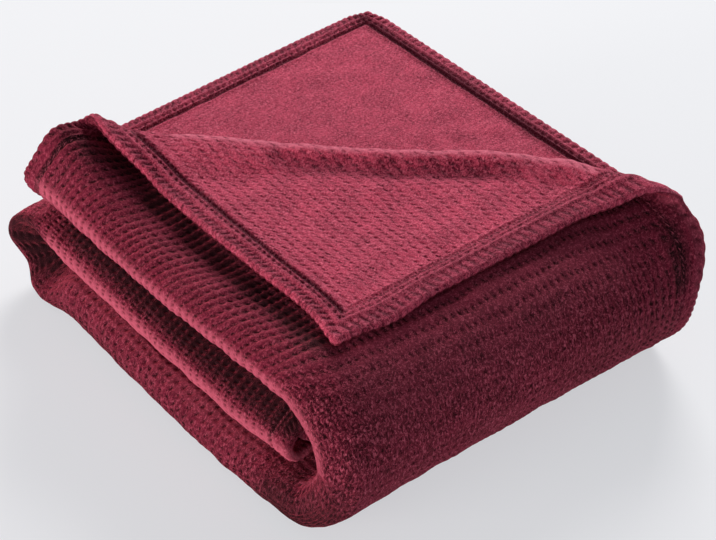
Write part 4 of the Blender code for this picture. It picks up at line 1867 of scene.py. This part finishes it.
# --- the blanket ---------------------------------------------------------------------------------
@dataclass
class ThrowBlanket:
    """The folded cloth as panels, fine where it shows and coarse inside the stack.

    Attributes:
        fine: Mesh cells of the panels that show.
        half_fine: Mesh cells of the inner layer, of which a strip shows.
        medium: Mesh cells of the bottom tier.
        coarse: Mesh cells inside the stack.
        fold_start: Where the left folds start, along s.
        fold_end: Where they end.
        wrap_end: Where the front wrap ends, along t.
        stack_middle: Middle of the folded stack, from its own front left corner, as (x, y).
        inner_start: Where the inner layer starts, along s.
        inner_depth: Where the part of it that shows ends, along t.
    """

    fine: float = 1.55 * MM
    half_fine: float = 2.5 * MM
    medium: float = 4.5 * MM
    coarse: float = 8.0 * MM
    fold_start: float = 0.345
    fold_end: float = 0.460
    wrap_end: float = 0.5325
    stack_middle: tuple[float, float] = (191.2 * MM, 229.6 * MM)
    inner_start: float = 1.130
    inner_depth: float = 0.3525

    def __post_init__(self) -> None:
        """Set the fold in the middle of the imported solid's box."""
        low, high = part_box(NODE)
        self.cloth = ClothSizes()
        centre = tuple(middle - (a + b) / 2 for middle, a, b in zip(self.stack_middle, low, high))
        self.fold = BlanketFold(self.cloth, centre)
        self.relief = FleeceRelief(self.cloth)
        self.mesher = ClothMesher(self.cloth, self.fold, self.relief)

    def panels(self) -> tuple[Panel, ...]:
        """List the panels that make up the whole cloth, without gaps or overlaps.

        Returns:
            The panels.
        """
        long, wide = self.cloth.long, self.cloth.wide
        third = self.wrap_end / 3
        return (
            Panel("cloth_top_rear", (0, self.fold_end), (0, third), self.fine),
            Panel("cloth_top_front", (0, self.fold_end), (third, 2 * third), self.fine),
            Panel("cloth_front_wrap", (0, self.fold_end), (2 * third, self.wrap_end), self.fine),
            Panel("cloth_left_folds", (self.fold_start, self.fold_end), (self.wrap_end, wide), self.fine),
            Panel("cloth_under", (0, self.fold_start), (self.wrap_end, wide), self.medium),
            Panel("cloth_inner_top", (self.inner_start, long), (0, self.inner_depth), self.half_fine),
            Panel("cloth_inner_rest", (self.inner_start, long), (self.inner_depth, wide), self.coarse),
            Panel("cloth_inner_layers", (self.fold_end, self.inner_start), (0, wide), self.coarse),
        )

    def build(self) -> list[bpy.types.Object]:
        """Make the stitching and every panel, attach each to the body and hide the imported solid.

        Returns:
            The new objects, the stitching first.
        """
        materials = {Side.FACE: WAFFLE_FACE.material(), Side.REVERSE: NAPPED_REVERSE.material()}
        stitches = HemStitching(self.cloth, self.mesher, self.relief.groove_at).build(
            SEWING_THREAD.material()
        )
        LOG.info("%s: %d faces", stitches.name, len(stitches.data.polygons))
        pieces = [stitches]
        for panel in self.panels():
            piece = self.mesher.build(panel, materials)
            flat = (panel.s[1] - panel.s[0], panel.t[1] - panel.t[0])
            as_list(pieces[:1] if len(pieces) == 1 else ())
            triangles = sum(len(face.vertices) - 2 for face in piece.data.polygons)
            LOG.info("%s: %d triangles, flat %.3f x %.3f m", piece.name, triangles, *flat)
            pieces.append(piece)
        for piece in pieces:
            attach(piece, BODY)
            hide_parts(NODE)
        return pieces


# --- the studio ----------------------------------------------------------------------------------
@dataclass(frozen=True)
class SoftLight:
    """A large soft light.

    Attributes:
        name: Name of the light.
        place: Where it stands.
        size: Length of its square side.
        power: Its power in watts.
        colour: Its colour.
    """

    name: str
    place: tuple[float, float, float]
    size: float
    power: float
    colour: str

    def build(self, target: Vector) -> bpy.types.Object:
        """Add the light, turned towards the target.

        Args:
            target: Where it shines.

        Returns:
            The new light.
        """
        data = bpy.data.lights.new(self.name, "AREA")
        data.shape = "SQUARE"
        data.size = self.size
        data.energy = self.power
        data.color = linear(self.colour)[:3]
        lamp = bpy.data.objects.new(self.name, data)
        lamp.location = self.place
        lamp.rotation_euler = (target - Vector(self.place)).to_track_quat("-Z", "Y").to_euler()
        bpy.context.scene.collection.objects.link(lamp)
        return lamp


@dataclass
class Studio:
    """A pale floor, a soft light behind the blanket, a weak one low at its left, and the camera.

    Attributes:
        floor_half: Half the floor's side.
        floor_colour: Colour of the paper.
        floor_roughness: Its roughness.
        floor_glow: Light that it gives back evenly, as paper lit from all round does.
        sky_colour: Colour of the light from all round.
        sky_strength: Its strength.
        lens_mm: Focal length.
        sensor_mm: Width of the sensor.
        camera_elevation: Angle of the camera above the floor.
        camera_azimuth: Its angle round from the front.
        camera_distance: Its distance from the target.
        camera_target: What it looks at.
        lights: The soft lights.
    """

    floor_half: float = 6.0
    floor_colour: str = "#8B8C8F"
    floor_roughness: float = 0.9
    floor_glow: float = 0.62
    sky_colour: str = "#F3F5F9"
    sky_strength: float = 0.30
    lens_mm: float = 110.6
    sensor_mm: float = 36.0
    camera_elevation: float = math.radians(38.2)
    camera_azimuth: float = math.radians(-38.5)
    camera_distance: float = 1.8267
    camera_target: tuple[float, float, float] = (-0.0093, -0.0274, 0.0739)
    lights: tuple[SoftLight, ...] = (
        SoftLight("window_light", (3.8, 3.4, 3.0), 2.6, 450.0, "#FFFBF7"),
        SoftLight("left_reflector", (-2.8, 0.2, 0.10), 1.6, 140.0, "#FFF0E8"),
    )

    def floor(self) -> bpy.types.Object:
        """Make the floor: one flat sheet of matt paper, at the height that the blanket rests on.

        Returns:
            The new object.
        """
        half = self.floor_half
        corners = np.array([(-half, -half, 0), (half, -half, 0), (half, half, 0), (-half, half, 0)])
        material = new_material("matt_paper_backdrop")
        shader = add(material.node_tree, "BsdfPrincipled", {
            "Base Color": linear(self.floor_colour), "Roughness": self.floor_roughness,
            "Emission Color": linear(self.sky_colour), "Emission Strength": self.floor_glow,
        })
        add(material.node_tree, "OutputMaterial", {"Surface": shader})
        floor = new_piece("floor", corners, [[0, 1, 2, 3]], [material])
        return floor

    def sky(self) -> None:
        """Light the scene evenly from all round."""
        world = bpy.data.worlds.new("studio")
        world.use_nodes = True
        background = world.node_tree.nodes["Background"]
        background.inputs["Color"].default_value = linear(self.sky_colour)
        background.inputs["Strength"].default_value = self.sky_strength
        bpy.context.scene.world = world

    def camera(self) -> bpy.types.Object:
        """Place the camera on its line of sight from the target.

        Returns:
            The camera.
        """
        level = math.cos(self.camera_elevation)
        back = Vector((
            math.sin(self.camera_azimuth) * level,
            -math.cos(self.camera_azimuth) * level,
            math.sin(self.camera_elevation),
        ))
        data = bpy.data.cameras.new("camera")
        data.lens = self.lens_mm
        data.sensor_width = self.sensor_mm
        camera = bpy.data.objects.new("camera", data)
        camera.location = Vector(self.camera_target) + back * self.camera_distance
        camera.rotation_euler = back.to_track_quat("Z", "Y").to_euler()
        bpy.context.scene.collection.objects.link(camera)
        bpy.context.scene.camera = camera
        return camera

    def build(self) -> None:
        """Set up the floor, the sky, the camera and the lights."""
        self.floor()
        self.sky()
        self.camera()
        for light in self.lights:
            light.build(Vector(self.camera_target))
        bpy.context.scene.view_settings.view_transform = "Standard"


def main() -> None:
    """Build the studio and the blanket, and report each piece."""
    logging.basicConfig(level=logging.INFO, format="%(name)s: %(message)s")
    Studio().build()
    ThrowBlanket().build()


if __name__ == "__main__":
    main()
